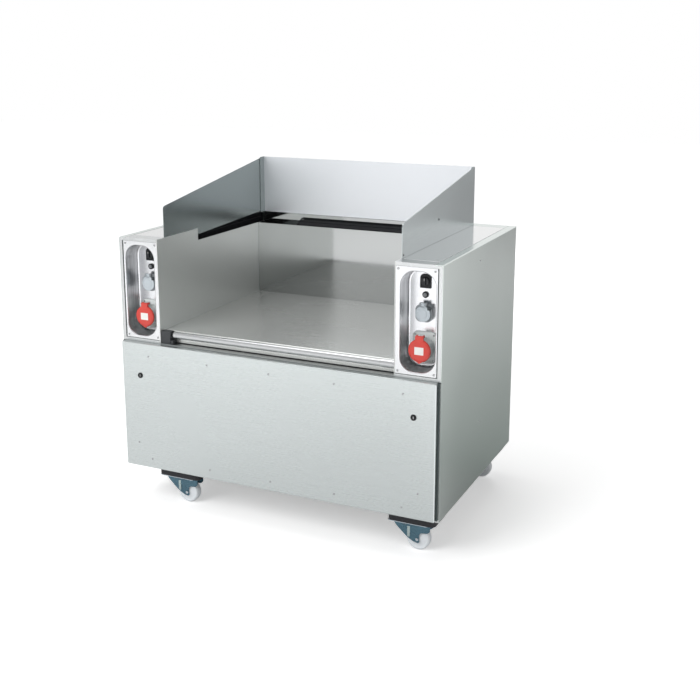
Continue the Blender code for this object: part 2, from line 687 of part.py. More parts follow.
# ================================================================ splash guard
def make_guard():
    """The three sheets of the splash guard: two sloped wings and the rear panel."""
    front, rear = FRONT_Y + GUARD_FRONT_SETBACK, GUARD_REAR_Y
    slot_front, slot_rear = FRONT_Y + SLOT_START, BAY_REAR_Y
    base = COUNTER_HEIGHT + TOUCH
    wing = [(front, base - GUARD_TAB), (slot_front - SEAM, base - GUARD_TAB),
            (slot_front - SEAM, base), (slot_rear, base), (slot_rear, SLOT_LOW - GUARD_TAB),
            (rear, SLOT_LOW - GUARD_TAB), (rear, GUARD_HEIGHT), (front, GUARD_FRONT_HEIGHT)]
    for label, side in SIDES:
        sheet = slab(f"guard_wing_{label}", [wing], SHEET, "YZ",
                     side * (BAY_OUT + TOUCH + SHEET / 2), STEEL)
        place = (side * (BAY_OUT + TOUCH + SHEET), FRONT_Y + WING_SCREW[0],
                 COUNTER_HEIGHT + WING_SCREW[1])
        add_heads(sheet, [place], "X", side)
    half = BAY_OUT
    path = [(-half, rear - GUARD_RETURN), (-half, rear), (half, rear), (half, rear - GUARD_RETURN)]
    folded_sheet("guard_rear", path, "XY", (base - GUARD_CORNER + TOUCH, GUARD_HEIGHT), BRIGHT)


# ================================================================ consoles
def console_ring(centre_x, width, height, radius):
    """A rounded rectangle about a console's middle, as (x, z) points."""
    return [(centre_x + x, RECESS_CENTRE_Z + z) for x, z in rounded_rectangle(width, height, radius)]


def add_loop(bm, points, y):
    """Add a closed line of points at a depth, and give its edges."""
    verts = [bm.verts.new((x, y, z)) for x, z in points]
    return [bm.edges.new((a, b)) for a, b in zip(verts, verts[1:] + verts[:1])]


def make_console(label, side):
    """A console plate whose middle is drawn in to a deep recess with a flat back."""
    centre_x = side * RECESS_CENTRE_X
    low_x, high_x = mirror_range(side, BAY_OUT + 2 * TOUCH, INNER_HALF - LIP - CONSOLE_GAP)
    low_z, high_z = PANEL_TOP + LIP + CONSOLE_GAP / 2, COUNTER_HEIGHT - LIP - CONSOLE_GAP / 2
    face = FRONT_Y + SHEET / 2
    bm = bmesh.new()
    outer = add_loop(bm, [(high_x, high_z), (low_x, high_z), (low_x, low_z), (high_x, low_z)], face)
    lean, curve = RECESS_TAPER, RECESS_BOTTOM_RADIUS
    rings = ((0.0, 0.0), (lean, RECESS_DEPTH - curve), (lean + curve * 0.3, RECESS_DEPTH - curve * 0.3),
             (lean + curve, RECESS_DEPTH))
    loop = outer
    for shrink, depth in rings:
        ring = add_loop(bm, console_ring(centre_x, RECESS_WIDTH - 2 * shrink,
                                         RECESS_HEIGHT - 2 * shrink, RECESS_RADIUS - shrink),
                        face if depth == 0.0 else FRONT_Y + depth)
        bmesh.ops.bridge_loops(bm, edges=loop + ring)
        loop = ring
    bmesh.ops.holes_fill(bm, edges=loop, sides=0)
    bmesh.ops.recalc_face_normals(bm, faces=bm.faces)
    front = max(bm.faces, key=lambda item: item.calc_area())
    if front.normal.y > 0:
        bmesh.ops.reverse_faces(bm, faces=bm.faces)
    console = finish(f"console_{label}", bm, BRIGHT)
    wall = console.modifiers.new("wall", "SOLIDIFY")
    wall.thickness = CONSOLE_SHEET
    wall.offset = -1.0
    wall.use_even_offset = True
    inset = CONSOLE_SCREW_INSET
    add_heads(console, [(x, face, z) for x in (low_x + inset, high_x - inset)
                        for z in (low_z + inset, high_z - inset)], "Y", -1)


def make_switch(label, x):
    """The arched switch plate and its turning knob."""
    back = CONSOLE_BACK_Y - TOUCH
    radius = SWITCH_WIDTH / 2
    low = SWITCH_Z - SWITCH_HEIGHT / 2
    arch = arc((x, SWITCH_Z + SWITCH_HEIGHT / 2 - radius), radius, 0, 180, 8)
    outline = arch + [(x - radius, low), (x + radius, low)]
    slab(f"switch_plate_{label}", [outline], SWITCH_PLATE, "XZ", back - SWITCH_PLATE / 2, BLACK,
         bevel=0.0008)
    face = back - SWITCH_PLATE - TOUCH
    knob = cylinder(f"switch_knob_{label}", (x, face - KNOB_HEIGHT / 4, SWITCH_Z), KNOB_RADIUS * 0.92,
                    KNOB_HEIGHT / 2, "Y", BLACK, far_radius=KNOB_RADIUS)
    grip = box(f"grip_{label}", (x - 0.003, face - KNOB_HEIGHT, SWITCH_Z - KNOB_RADIUS * 0.85),
               (x + 0.003, face - KNOB_HEIGHT / 4, SWITCH_Z + KNOB_RADIUS * 0.85), BLACK)
    axis_point = (x, face, SWITCH_Z)
    set_origin(knob, axis_point)
    join(knob, grip)


def make_button(label, x):
    """The reset button in its collar."""
    back = CONSOLE_BACK_Y - TOUCH
    bore = BUTTON_RADIUS + RUN_GAP
    profile = [(bore, 0), (COLLAR_RADIUS * 0.85, 0), (COLLAR_RADIUS, -COLLAR_HEIGHT * 0.3),
               (COLLAR_RADIUS, -COLLAR_HEIGHT), (bore, -COLLAR_HEIGHT)]
    collar = turned(f"button_collar_{label}", profile, 20, BLACK, closed=True)
    collar.rotation_euler = (pi / 2, 0, 0)
    collar.location = (x, back - COLLAR_HEIGHT, BUTTON_Z)
    front, rear = back - COLLAR_HEIGHT - BUTTON_TRAVEL, back - BUTTON_TRAVEL - RUN_GAP
    button = cylinder(f"reset_button_{label}", (x, (front + rear) / 2, BUTTON_Z), BUTTON_RADIUS,
                      rear - front, "Y", GREY, segments=16)
    set_origin(button, (x, front, BUTTON_Z))


def make_small_socket(label, x):
    """The grey domestic outlet and its hinged lid."""
    back = CONSOLE_BACK_Y - TOUCH
    face = back - SMALL_SOCKET_HEIGHT
    half = SMALL_SOCKET_SIZE / 2
    body_points = [(x + a, SMALL_SOCKET_Z + b)
                   for a, b in rounded_rectangle(SMALL_SOCKET_SIZE, SMALL_SOCKET_SIZE, 0.010, 3)]
    socket = slab(f"small_socket_{label}", [body_points], SMALL_SOCKET_HEIGHT, "XZ",
                  (back + face) / 2, GREY)
    cut(socket, cylinder(f"small_well_{label}", (x, face, SMALL_SOCKET_Z), SMALL_WELL_RADIUS,
                         2 * SMALL_WELL_DEPTH, "Y", GREY, segments=24))
    hinge_z = SMALL_SOCKET_Z + half + SMALL_HINGE_RADIUS + RUN_GAP
    hinge_y = face - SMALL_HINGE_RADIUS
    knuckle = 0.011
    pin = SMALL_HINGE_RADIUS * 0.4
    for shift in (-1, 1):
        low_x, high_x = mirror_range(shift, knuckle / 2 + RUN_GAP, knuckle)
        join(socket, box(f"small_ear_{label}_{shift}",
                         (x + low_x, hinge_y - SMALL_HINGE_RADIUS, SMALL_SOCKET_Z + half - 0.004),
                         (x + high_x, back - SMALL_SOCKET_HEIGHT / 2,
                          hinge_z + SMALL_HINGE_RADIUS), GREY))
    cut(socket, cylinder(f"small_pin_hole_{label}", (x, hinge_y, hinge_z), pin + RUN_GAP,
                         3 * knuckle, "X", GREY, segments=12))
    lid_points = [(x + a, SMALL_SOCKET_Z - 0.001 + b)
                  for a, b in rounded_rectangle(SMALL_SOCKET_SIZE - 0.004,
                                                SMALL_SOCKET_SIZE - 0.014, 0.013, 3)]
    lid_back = face - TOUCH
    lid = slab(f"small_lid_{label}", [lid_points], SMALL_LID_THICKNESS, "XZ",
               lid_back - SMALL_LID_THICKNESS / 2, GREY)
    hinge = (x, hinge_y, hinge_z)
    set_origin(lid, hinge)
    strap = box(f"lid_strap_{label}",
                (x - knuckle / 2, lid_back - SMALL_LID_THICKNESS, SMALL_SOCKET_Z + half * 0.4),
                (x + knuckle / 2, lid_back, hinge_z), GREY)
    join(lid, strap)
    join(lid, cylinder(f"lid_barrel_{label}", hinge, SMALL_HINGE_RADIUS - TOUCH, knuckle,
                       "X", GREY, segments=12))
    join(lid, cylinder(f"small_pin_{label}", hinge, pin, 2 * knuckle, "X", GREY, segments=10))


def make_big_socket(label, x):
    """The industrial outlet: flange, barrel with contact pins, and the red lid."""
    back = CONSOLE_BACK_Y - TOUCH
    flange_face = back - FLANGE_THICKNESS
    mouth = flange_face - BARREL_LENGTH
    flange_points = [(x + a, BIG_SOCKET_Z + b)
                     for a, b in rounded_rectangle(FLANGE_WIDTH, FLANGE_HEIGHT, FLANGE_RADIUS, 3)]
    socket = slab(f"big_socket_{label}", [flange_points], FLANGE_THICKNESS, "XZ",
                  (back + flange_face) / 2, PALE)
    join(socket, cylinder(f"barrel_{label}", (x, (mouth + back) / 2, BIG_SOCKET_Z), BARREL_RADIUS,
                          back - mouth - TOUCH, "Y", PALE, segments=28))
    cut(socket, cylinder(f"barrel_bore_{label}", (x, mouth, BIG_SOCKET_Z), BARREL_BORE,
                         2 * (BARREL_LENGTH - SHEET), "Y", PALE, segments=28))
    bm = bmesh.new()
    for k in range(PIN_COUNT):
        angle = -pi / 2 + 2 * pi * k / PIN_COUNT
        place = (x + PIN_CIRCLE * cos(angle), (mouth + back) / 2 + 0.004,
                 BIG_SOCKET_Z + PIN_CIRCLE * sin(angle))
        add_cylinder(bm, place, PIN_RADIUS, back - mouth - 0.008 - SHEET, "Y", 8)
    join(socket, finish(f"pins_{label}", bm, PALE))
    hinge_z = BIG_SOCKET_Z + BIG_HINGE_RISE
    hinge_y = mouth + BIG_HINGE_RADIUS
    ear = 0.006
    gap = BIG_TAB_WIDTH / 2 - ear
    ear_round = BIG_HINGE_RADIUS - TOUCH
    pin = BIG_HINGE_RADIUS * 0.4
    for shift in (-1, 1):
        low_x, high_x = mirror_range(shift, gap - ear, gap)
        root = BIG_SOCKET_Z + BARREL_RADIUS - 0.008
        join(socket, box(f"big_ear_{label}_{shift}", (x + low_x, hinge_y - ear_round, root),
                         (x + high_x, mouth + 0.020, hinge_z), PALE))
        join(socket, box(f"ear_top_{label}_{shift}", (x + low_x, hinge_y, hinge_z - 0.002),
                         (x + high_x, mouth + 0.018, hinge_z + ear_round), PALE))
        join(socket, cylinder(f"ear_round_{label}_{shift}",
                              (x + (low_x + high_x) / 2, hinge_y, hinge_z), ear_round,
                              ear, "X", PALE, segments=16))
    cut(socket, cylinder(f"big_pin_hole_{label}", (x, hinge_y, hinge_z), pin + RUN_GAP,
                         2 * BIG_TAB_WIDTH, "X", PALE, segments=12))
    lid_back = mouth - TOUCH
    lid_face = lid_back - BIG_LID_THICKNESS
    round_edge = arc((x, BIG_SOCKET_Z), BIG_LID_RADIUS, 112, 428, 30)
    low = min(round_edge, key=lambda point: point[1])
    nose = (x, BIG_SOCKET_Z - BIG_LID_RADIUS - 0.005)
    outline = []
    for point in round_edge:
        if point is low:
            outline.append(nose)
        elif abs(point[0] - x) > 0.005 or point[1] > BIG_SOCKET_Z:
            outline.append(point)
    tab_top = hinge_z + BIG_HINGE_RADIUS
    tab = BIG_TAB_WIDTH / 2
    outline += [(x + tab, tab_top - 0.008), (x + tab - 0.003, tab_top),
                (x - tab + 0.003, tab_top), (x - tab, tab_top - 0.008)]
    lid = slab(f"big_lid_{label}", [outline], BIG_LID_THICKNESS, "XZ",
               (lid_back + lid_face) / 2, RED)
    hinge = (x, hinge_y, hinge_z)
    set_origin(lid, hinge)
    outer_tab = BIG_TAB_WIDTH / 2
    for shift in (-1, 1):
        low_x, high_x = mirror_range(shift, gap + RUN_GAP, outer_tab)
        join(lid, box(f"tab_ear_{label}_{shift}",
                      (x + low_x, lid_back - 0.002, hinge_z - BIG_HINGE_RADIUS),
                      (x + high_x, hinge_y + BIG_HINGE_RADIUS, tab_top), RED))
    join(lid, cylinder(f"big_pin_{label}", hinge, pin, 2 * outer_tab - TOUCH, "X", RED, segments=10))


def make_consoles():
    """Both consoles with all their outlets and controls."""
    for label, side in SIDES:
        make_console(label, side)
        x = side * RECESS_CENTRE_X
        make_switch(label, x)
        make_button(label, x)
        make_small_socket(label, x)
        make_big_socket(label, x)


# ================================================================ front panel
def make_front_panel():
    """The lift-off front panel, a tray whose open side faces the cabinet, with lock holes."""
    half = HALF - PANEL_SIDE_INSET
    bm = bmesh.new()
    add_box(bm, (-half, FACE_Y, PANEL_BOTTOM), (half, FRONT_Y - TOUCH, PANEL_TOP - TOUCH))
    bm.normal_update()
    behind = [face for face in bm.faces if face.normal.y > 0.5]
    bmesh.ops.delete(bm, geom=behind, context="FACES")
    panel = finish("front_panel", bm, STEEL)
    wall = panel.modifiers.new("wall", "SOLIDIFY")
    wall.thickness = SHEET
    wall.offset = -1.0
    wall.use_even_offset = True
    for label, side in SIDES:
        cut(panel, cylinder(f"lock_hole_{label}", (side * LOCK_X, FACE_Y, LOCK_Z),
                            LOCK_SHAFT + RUN_GAP, 6 * SHEET, "Y", STEEL))
    end = HALF - PANEL_SCREW_INSET
    columns = [end * (2 * k / (PANEL_SCREW_COUNT - 1) - 1) for k in range(PANEL_SCREW_COUNT)]
    rows = (PANEL_BOTTOM + PANEL_SCREW_LOW, PANEL_TOP - PANEL_SCREW_DROP)
    places = [(x, FACE_Y, z) for x in columns for z in rows]
    places += [(side * (HALF - EXTRA_SCREW[0]), FACE_Y, PANEL_BOTTOM + EXTRA_SCREW[1])
               for _, side in SIDES]
    add_heads(panel, places, "Y", -1)


def make_locks():
    """The quarter-turn locks: a round head, a shaft and a cam, which hangs down when it is open."""
    cam_face = FRONT_Y + 2 * TOUCH + SHEET + 0.001
    for label, side in SIDES:
        x = side * LOCK_X
        lock = cylinder(f"panel_lock_{label}", (x, FACE_Y - TOUCH - LOCK_HEAD / 2, LOCK_Z),
                        LOCK_RADIUS, LOCK_HEAD, "Y", BLACK, segments=24)
        set_origin(lock, (x, FACE_Y, LOCK_Z))
        join(lock, cylinder(f"lock_shaft_{label}", (x, (FACE_Y + cam_face) / 2, LOCK_Z), LOCK_SHAFT,
                            cam_face - FACE_Y + SHEET, "Y", BLACK, segments=16))
        join(lock, box(f"lock_cam_{label}", (x - LOCK_SHAFT, cam_face, LOCK_Z - CAM_LENGTH),
                       (x + LOCK_SHAFT, cam_face + SHEET, LOCK_Z + LOCK_SHAFT), BLACK))


# ================================================================ casters
def caster_places():
    """The name and swivel axis of each caster."""
    front, rear = FRONT_Y + CASTER_SETBACK, BACK_Y - CASTER_SETBACK
    left, right = CASTER_LEFT_INSET - HALF, HALF - CASTER_RIGHT_INSET
    return (("front_left", left, front), ("front_right", right, front),
            ("rear_left", left, rear), ("rear_right", right, rear))


def make_caster_mount(label, x, y):
    """One black mounting block with the caster's plate and kingpin under it."""
    half_x, half_y = BLOCK_SIZE[0] / 2, BLOCK_SIZE[1] / 2
    block_x = x + BLOCK_OFFSET_X
    mount = box(f"caster_mount_{label}", (block_x - half_x, y - half_y, CASTER_HEIGHT),
                (block_x + half_x, y + half_y, UNDERSIDE_HEIGHT - TOUCH), BLACK, bevel=BLOCK_EASE)
    half_x, half_y = PLATE_SIZE[0] / 2, PLATE_SIZE[1] / 2
    underside = CASTER_HEIGHT - PLATE_THICKNESS
    join(mount, box(f"caster_plate_{label}", (x - half_x, y - half_y, underside),
                    (x + half_x, y + half_y, CASTER_HEIGHT + BLOCK_EASE), BLACK))
    flange_z = HEAD_LOW - FLANGE_DROP / 2
    high = CASTER_HEIGHT + BLOCK_EASE
    join(mount, cylinder(f"kingpin_{label}", (x, y, (flange_z + high) / 2), KINGPIN_RADIUS,
                         high - flange_z, "Z", BLACK, segments=12))
    join(mount, cylinder(f"kingpin_flange_{label}", (x, y, flange_z), KINGPIN_RADIUS * 1.6,
                         FLANGE_DROP - 2 * TOUCH, "Z", BLACK, segments=12))


def leg_outline():
    """The side of a fork leg: wide under the swivel head, narrowing down round the axle."""
    front, rear = LEG_TOP
    high = HEAD_LOW + LEG_THICKNESS
    boss = TIP_RADIUS
    tip = arc((TRAIL, WHEEL_RADIUS), boss, 215, 360, 6)
    throat = arc((TRAIL + boss + THROAT_RADIUS, HEAD_LOW - LEG_SHOULDER - THROAT_RADIUS),
                 THROAT_RADIUS, 180, 90, 4)
    return ([(front, high), (front, HEAD_LOW - LEG_SHOULDER / 2)] + tip + throat
            + [(rear, HEAD_LOW - LEG_SHOULDER / 2), (rear, high)])


def make_caster(label, x, y):
    """One swivel fork with its axle, and the wheel that turns on it."""
    low, high = HEAD_LOW, CASTER_HEIGHT - PLATE_THICKNESS - TOUCH
    fork = cylinder(f"caster_fork_{label}", (x, y, (low + high) / 2), HEAD_RADIUS * 0.86,
                    high - low, "Z", ZINC, segments=24, far_radius=HEAD_RADIUS)
    set_origin(fork, (x, y, CASTER_HEIGHT))
    inner = WHEEL_WIDTH / 2 + LEG_GAP
    outer = inner + LEG_THICKNESS
    join(fork, box(f"bridge_{label}", (x + LEG_TOP[0] + LEG_THICKNESS, y - outer, low),
                   (x + LEG_TOP[1] - LEG_THICKNESS, y + outer, low + LEG_THICKNESS), ZINC))
    for sign in (-1, 1):
        points = [(x + a, b) for a, b in leg_outline()]
        join(fork, slab(f"leg_{label}_{sign}", [points], LEG_THICKNESS, "XZ",
                        y + sign * (inner + outer) / 2, ZINC))
    centre = (x + TRAIL, y, WHEEL_RADIUS)
    join(fork, cylinder(f"axle_{label}", centre, AXLE_RADIUS, 2 * outer + LEG_THICKNESS, "Y", ZINC,
                        segments=16))
    for sign in (-1, 1):
        nut = (centre[0], y + sign * (outer + NUT_THICKNESS / 4), centre[2])
        join(fork, cylinder(f"axle_nut_{label}_{sign}", nut, AXLE_RADIUS * 1.9, NUT_THICKNESS,
                            "Y", ZINC, segments=6))
    cut(fork, cylinder(f"kingpin_bore_{label}", (x, y, high), KINGPIN_RADIUS + RUN_GAP,
                       4 * (high - low), "Z", ZINC, segments=16))
    half = WHEEL_WIDTH / 2
    rim, hub, bore = WHEEL_RADIUS, HUB_RADIUS, AXLE_RADIUS + RUN_GAP
    profile = [(bore, half), (hub, half), (hub + 0.002, half - 0.003), (rim - 0.008, half - 0.003),
               (rim - 0.003, half - 0.002), (rim, half - 0.006)]
    profile += [(r, -h) for r, h in reversed(profile)]
    wheel = turned(f"caster_wheel_{label}", profile, 24, NYLON, closed=True)
    wheel.rotation_euler = (pi / 2, 0, 0)
    wheel.parent = fork
    wheel.location = Vector(centre) - Vector((x, y, CASTER_HEIGHT))


def make_casters():
    """The mounts, forks and wheels of all four casters."""
    for label, x, y in caster_places():
        make_caster_mount(label, x, y)
        make_caster(label, x, y)


# ================================================================ inside
def scroll_points(shrink, outlet_y):
    """A blower scroll in the YZ plane: a widening spiral that ends in a straight outlet."""
    centre_y, centre_z = SCROLL_CENTRE
    points = []
    steps = 24
    for k in range(steps + 1):
        turn = k / steps
        angle = radians(-90 - 270 * turn)
        radius = SCROLL_RADIUS + SCROLL_GROWTH * (1 - turn) - shrink
        points.append((centre_y + radius * cos(angle), centre_z + radius * sin(angle)))
    low = centre_z - SCROLL_RADIUS - SCROLL_GROWTH + shrink
    tongue = centre_z - SCROLL_RADIUS * 0.35 - shrink
    points += [(centre_y + SCROLL_RADIUS - shrink, tongue), (outlet_y, tongue), (outlet_y, low)]
    return points


def make_blower():
    """The suction blower: scroll housing, impeller on the motor's shaft, and the motor."""
    centre_y, centre_z = SCROLL_CENTRE
    near_x, far_x = SCROLL_X
    middle = (near_x + far_x) / 2
    outlet = BACK_Y - SHEET - 2 * TOUCH - 0.004
    housing = slab("blower_housing", [scroll_points(0, outlet)], far_x - near_x, "YZ", middle, PAINT)
    cut(housing, slab("scroll_inside", [scroll_points(SCROLL_WALL, outlet + 0.02)],
                      far_x - near_x - 2 * SCROLL_WALL, "YZ", middle, PAINT))
    cut(housing, cylinder("scroll_inlet", (near_x, centre_y, centre_z), INLET_RADIUS,
                          4 * SCROLL_WALL, "X", PAINT, segments=28))
    cut(housing, cylinder("scroll_shaft_hole", (far_x, centre_y, centre_z), SHAFT_RADIUS * 1.6,
                          4 * SCROLL_WALL, "X", PAINT, segments=16))
    foot_top = centre_z - SCROLL_RADIUS - SCROLL_GROWTH + SCROLL_WALL / 2
    for k, y in enumerate((centre_y, centre_y + 0.150)):
        join(housing, box(f"blower_foot_{k}", (near_x, y, TRAY_TOP + TOUCH),
                          (far_x, y + 0.020, foot_top), PAINT))
    shaft_end = middle - IMPELLER_WIDTH / 4
    motor = cylinder("blower_motor", (far_x + TOUCH + MOTOR_LENGTH / 2, centre_y, centre_z),
                     MOTOR_RADIUS, MOTOR_LENGTH, "X", DARK, segments=28)
    ease(motor, 0.004)
    shaft = cylinder("motor_shaft", ((shaft_end + far_x + 0.01) / 2, centre_y, centre_z),
                     SHAFT_RADIUS, far_x + 0.01 - shaft_end, "X", DARK, segments=16)
    join(motor, shaft)
    back_x = middle + IMPELLER_WIDTH / 2
    impeller = cylinder("blower_impeller", (back_x - 0.0015, centre_y, centre_z), IMPELLER_RADIUS,
                        0.003, "X", STEEL, segments=28)
    set_origin(impeller, (middle, centre_y, centre_z))
    blades = bmesh.new()
    for k in range(BLADE_COUNT):
        made = add_box(blades, (-IMPELLER_WIDTH / 2, -0.001, IMPELLER_RADIUS * 0.70),
                       (IMPELLER_WIDTH / 2 - 0.001, 0.001, IMPELLER_RADIUS * 0.985))
        lean = Matrix.Translation((0, 0, IMPELLER_RADIUS * 0.84)) @ Matrix.Rotation(radians(25), 4, "X")
        lean = lean @ Matrix.Translation((0, 0, -IMPELLER_RADIUS * 0.84))
        spin = Matrix.Rotation(2 * pi * k / BLADE_COUNT, 4, "X")
        place = Matrix.Translation((middle, centre_y, centre_z))
        bmesh.ops.transform(blades, matrix=place @ spin @ lean, verts=made)
    join(impeller, finish("blades", blades, STEEL))
    ring_x = middle - IMPELLER_WIDTH / 2 + 0.001
    ring = cylinder("front_ring", (ring_x, centre_y, centre_z), IMPELLER_RADIUS, 0.003, "X", STEEL,
                    segments=28)
    cut(ring, cylinder("ring_hole", (ring_x, centre_y, centre_z), IMPELLER_RADIUS * 0.76, 0.01, "X",
                       STEEL, segments=28))
    join(impeller, ring)
    join(impeller, cylinder("impeller_hub", (back_x - 0.016, centre_y, centre_z), SHAFT_RADIUS * 2.2,
                            0.030, "X", STEEL, segments=16))
    cut(impeller, cylinder("hub_bore", (middle, centre_y, centre_z), SHAFT_RADIUS + RUN_GAP,
                           2 * IMPELLER_WIDTH, "X", STEEL, segments=16))


def make_filter():
    """The open filter cassette that stands on the tray: a frame, its carbon plates and a grip."""
    width, length, height = CASSETTE_SIZE
    low = (-BAY_HALF + CASSETTE_MARGIN, FRONT_Y + CASSETTE_SETBACK, TRAY_TOP + TOUCH)
    high = (low[0] + width, low[1] + length, low[2] + height)
    cassette = box("filter_cassette", low, high, STEEL)
    cut(cassette, box("cassette_core", (low[0] - SHEET, low[1] + SHEET, low[2] + SHEET),
                      (high[0] + SHEET, high[1] - SHEET, high[2] - SHEET), STEEL))
    plates = bmesh.new()
    for k in range(1, CARBON_PLATES + 1):
        z = low[2] + height * k / (CARBON_PLATES + 1)
        add_box(plates, (low[0] + SHEET, low[1] + SHEET / 2, z - SHEET),
                (high[0] - SHEET, high[1] - SHEET / 2, z + SHEET))
    join(cassette, finish("carbon_plates", plates, STEEL))
    middle, grip_z = (low[0] + high[0]) / 2, low[2] + height * 0.6
    join(cassette, box("cassette_grip", (middle - GRIP_LENGTH / 2, low[1] - GRIP_REACH, grip_z),
                       (middle + GRIP_LENGTH / 2, low[1] + SHEET / 2, grip_z + GRIP_HEIGHT), STEEL))


def make_electrics():
    """The electric box on the tray, and the mains cable gland in the tray's floor."""
    width, length, height = ELECTRIC_BOX_SIZE
    low = (-INNER_HALF + ELECTRIC_BOX_MARGIN, FRONT_Y + ELECTRIC_BOX_SETBACK, TRAY_TOP + TOUCH)
    box("electric_box", low, (low[0] + width, low[1] + length, low[2] + height), GREY, bevel=0.003)
    x, y = GLAND_X, BACK_Y - GLAND_INSET
    thread = GLAND_RADIUS * 0.7 - TOUCH
    top = TRAY_TOP + TOUCH
    bottom = UNDERSIDE_HEIGHT - TOUCH
    gland = cylinder("cable_gland", (x, y, bottom - 0.004), GLAND_RADIUS, 0.008, "Z", BLACK, segments=6)
    join(gland, cylinder("gland_dome", (x, y, bottom - 0.013), GLAND_RADIUS * 0.6, 0.014, "Z", BLACK,
                         segments=16, far_radius=GLAND_RADIUS * 0.9))
    join(gland, cylinder("gland_thread", (x, y, (top + bottom) / 2), thread, 0.012, "Z", BLACK,
                         segments=16))
    join(gland, cylinder("gland_nut", (x, y, top + 0.0025), GLAND_RADIUS, 0.005, "Z", BLACK, segments=6))
    cut(gland, cylinder("gland_bore", (x, y, bottom), thread * 0.6, 0.08, "Z", BLACK, segments=12))


def main():
    """Build every sub-part."""
    clear_scene()
    make_base_tray()
    make_side_panels()
    make_rear_panel()
    make_pillar_fronts()
    make_top_covers()
    make_front_posts()
    make_bay_walls()
    make_bay_floor()
    make_bay_rear()
    make_ledge_and_rail()
    make_guard()
    make_consoles()
    make_front_panel()
    make_locks()
    make_casters()
    make_blower()
    make_filter()
    make_electrics()


main()
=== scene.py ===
"""Looks of a mobile cooking station: a steel extraction cabinet on four casters.

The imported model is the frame. Every piece below is made in the row frame, in metres, with its
place in its mesh: +Z is up, the front faces -Y, and the origin lies on the floor.
"""

import logging
import math
from dataclasses import dataclass, field
from enum import Enum
from typing import Any, Optional, Sequence, Union

import bmesh
import bpy
from mathutils import Matrix, Vector


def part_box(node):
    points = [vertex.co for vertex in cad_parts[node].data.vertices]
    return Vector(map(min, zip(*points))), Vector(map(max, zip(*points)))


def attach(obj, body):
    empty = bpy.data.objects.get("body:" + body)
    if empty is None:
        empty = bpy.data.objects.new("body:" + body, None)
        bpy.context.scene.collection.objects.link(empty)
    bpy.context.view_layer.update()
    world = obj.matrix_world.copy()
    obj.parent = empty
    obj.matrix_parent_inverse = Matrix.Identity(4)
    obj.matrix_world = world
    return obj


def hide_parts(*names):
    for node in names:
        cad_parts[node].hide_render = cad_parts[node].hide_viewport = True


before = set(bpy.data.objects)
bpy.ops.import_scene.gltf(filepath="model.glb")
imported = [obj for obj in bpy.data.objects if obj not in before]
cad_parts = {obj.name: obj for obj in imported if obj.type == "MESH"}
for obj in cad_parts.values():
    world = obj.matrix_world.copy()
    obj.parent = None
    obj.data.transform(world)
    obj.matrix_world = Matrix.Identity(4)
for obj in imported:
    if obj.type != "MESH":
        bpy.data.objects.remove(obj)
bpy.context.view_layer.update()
LOG = logging.getLogger("cooking_station")

Colour = tuple[float, float, float]
Point = Sequence[float]

NO_TURN = (0.0, 0.0, 0.0)
SIDES = (("left", -1.0), ("right", 1.0))
SHEET = 0.002            # steel of the cabinet's sheets
FRONT_FACE = -0.35365    # front face of the cabinet's pillars


# ================================================================ shader maths
class Signal:
    """A shader socket that takes part in arithmetic; each step adds a Math node."""

    def __init__(self, sheet: "NodeSheet", socket: bpy.types.NodeSocket) -> None:
        """Wrap a socket of a sheet's node tree."""
        self.sheet = sheet
        self.socket = socket

    def _step(self, operation: str, first: Any, second: Any) -> "Signal":
        """Add one Math node for two values."""
        return self.sheet.node("ShaderNodeMath", {"operation": operation}, {0: first, 1: second})

    def __add__(self, other: Any) -> "Signal":
        """Sum with a value or a signal."""
        return self._step("ADD", self, other)

    def __radd__(self, other: Any) -> "Signal":
        """Sum with a value on the left."""
        return self._step("ADD", other, self)

    def __sub__(self, other: Any) -> "Signal":
        """Difference with a value or a signal."""
        return self._step("SUBTRACT", self, other)

    def __rsub__(self, other: Any) -> "Signal":
        """Difference from a value on the left."""
        return self._step("SUBTRACT", other, self)

    def __mul__(self, other: Any) -> "Signal":
        """Product with a value or a signal."""
        return self._step("MULTIPLY", self, other)

    def __rmul__(self, other: Any) -> "Signal":
        """Product with a value on the left."""
        return self._step("MULTIPLY", other, self)


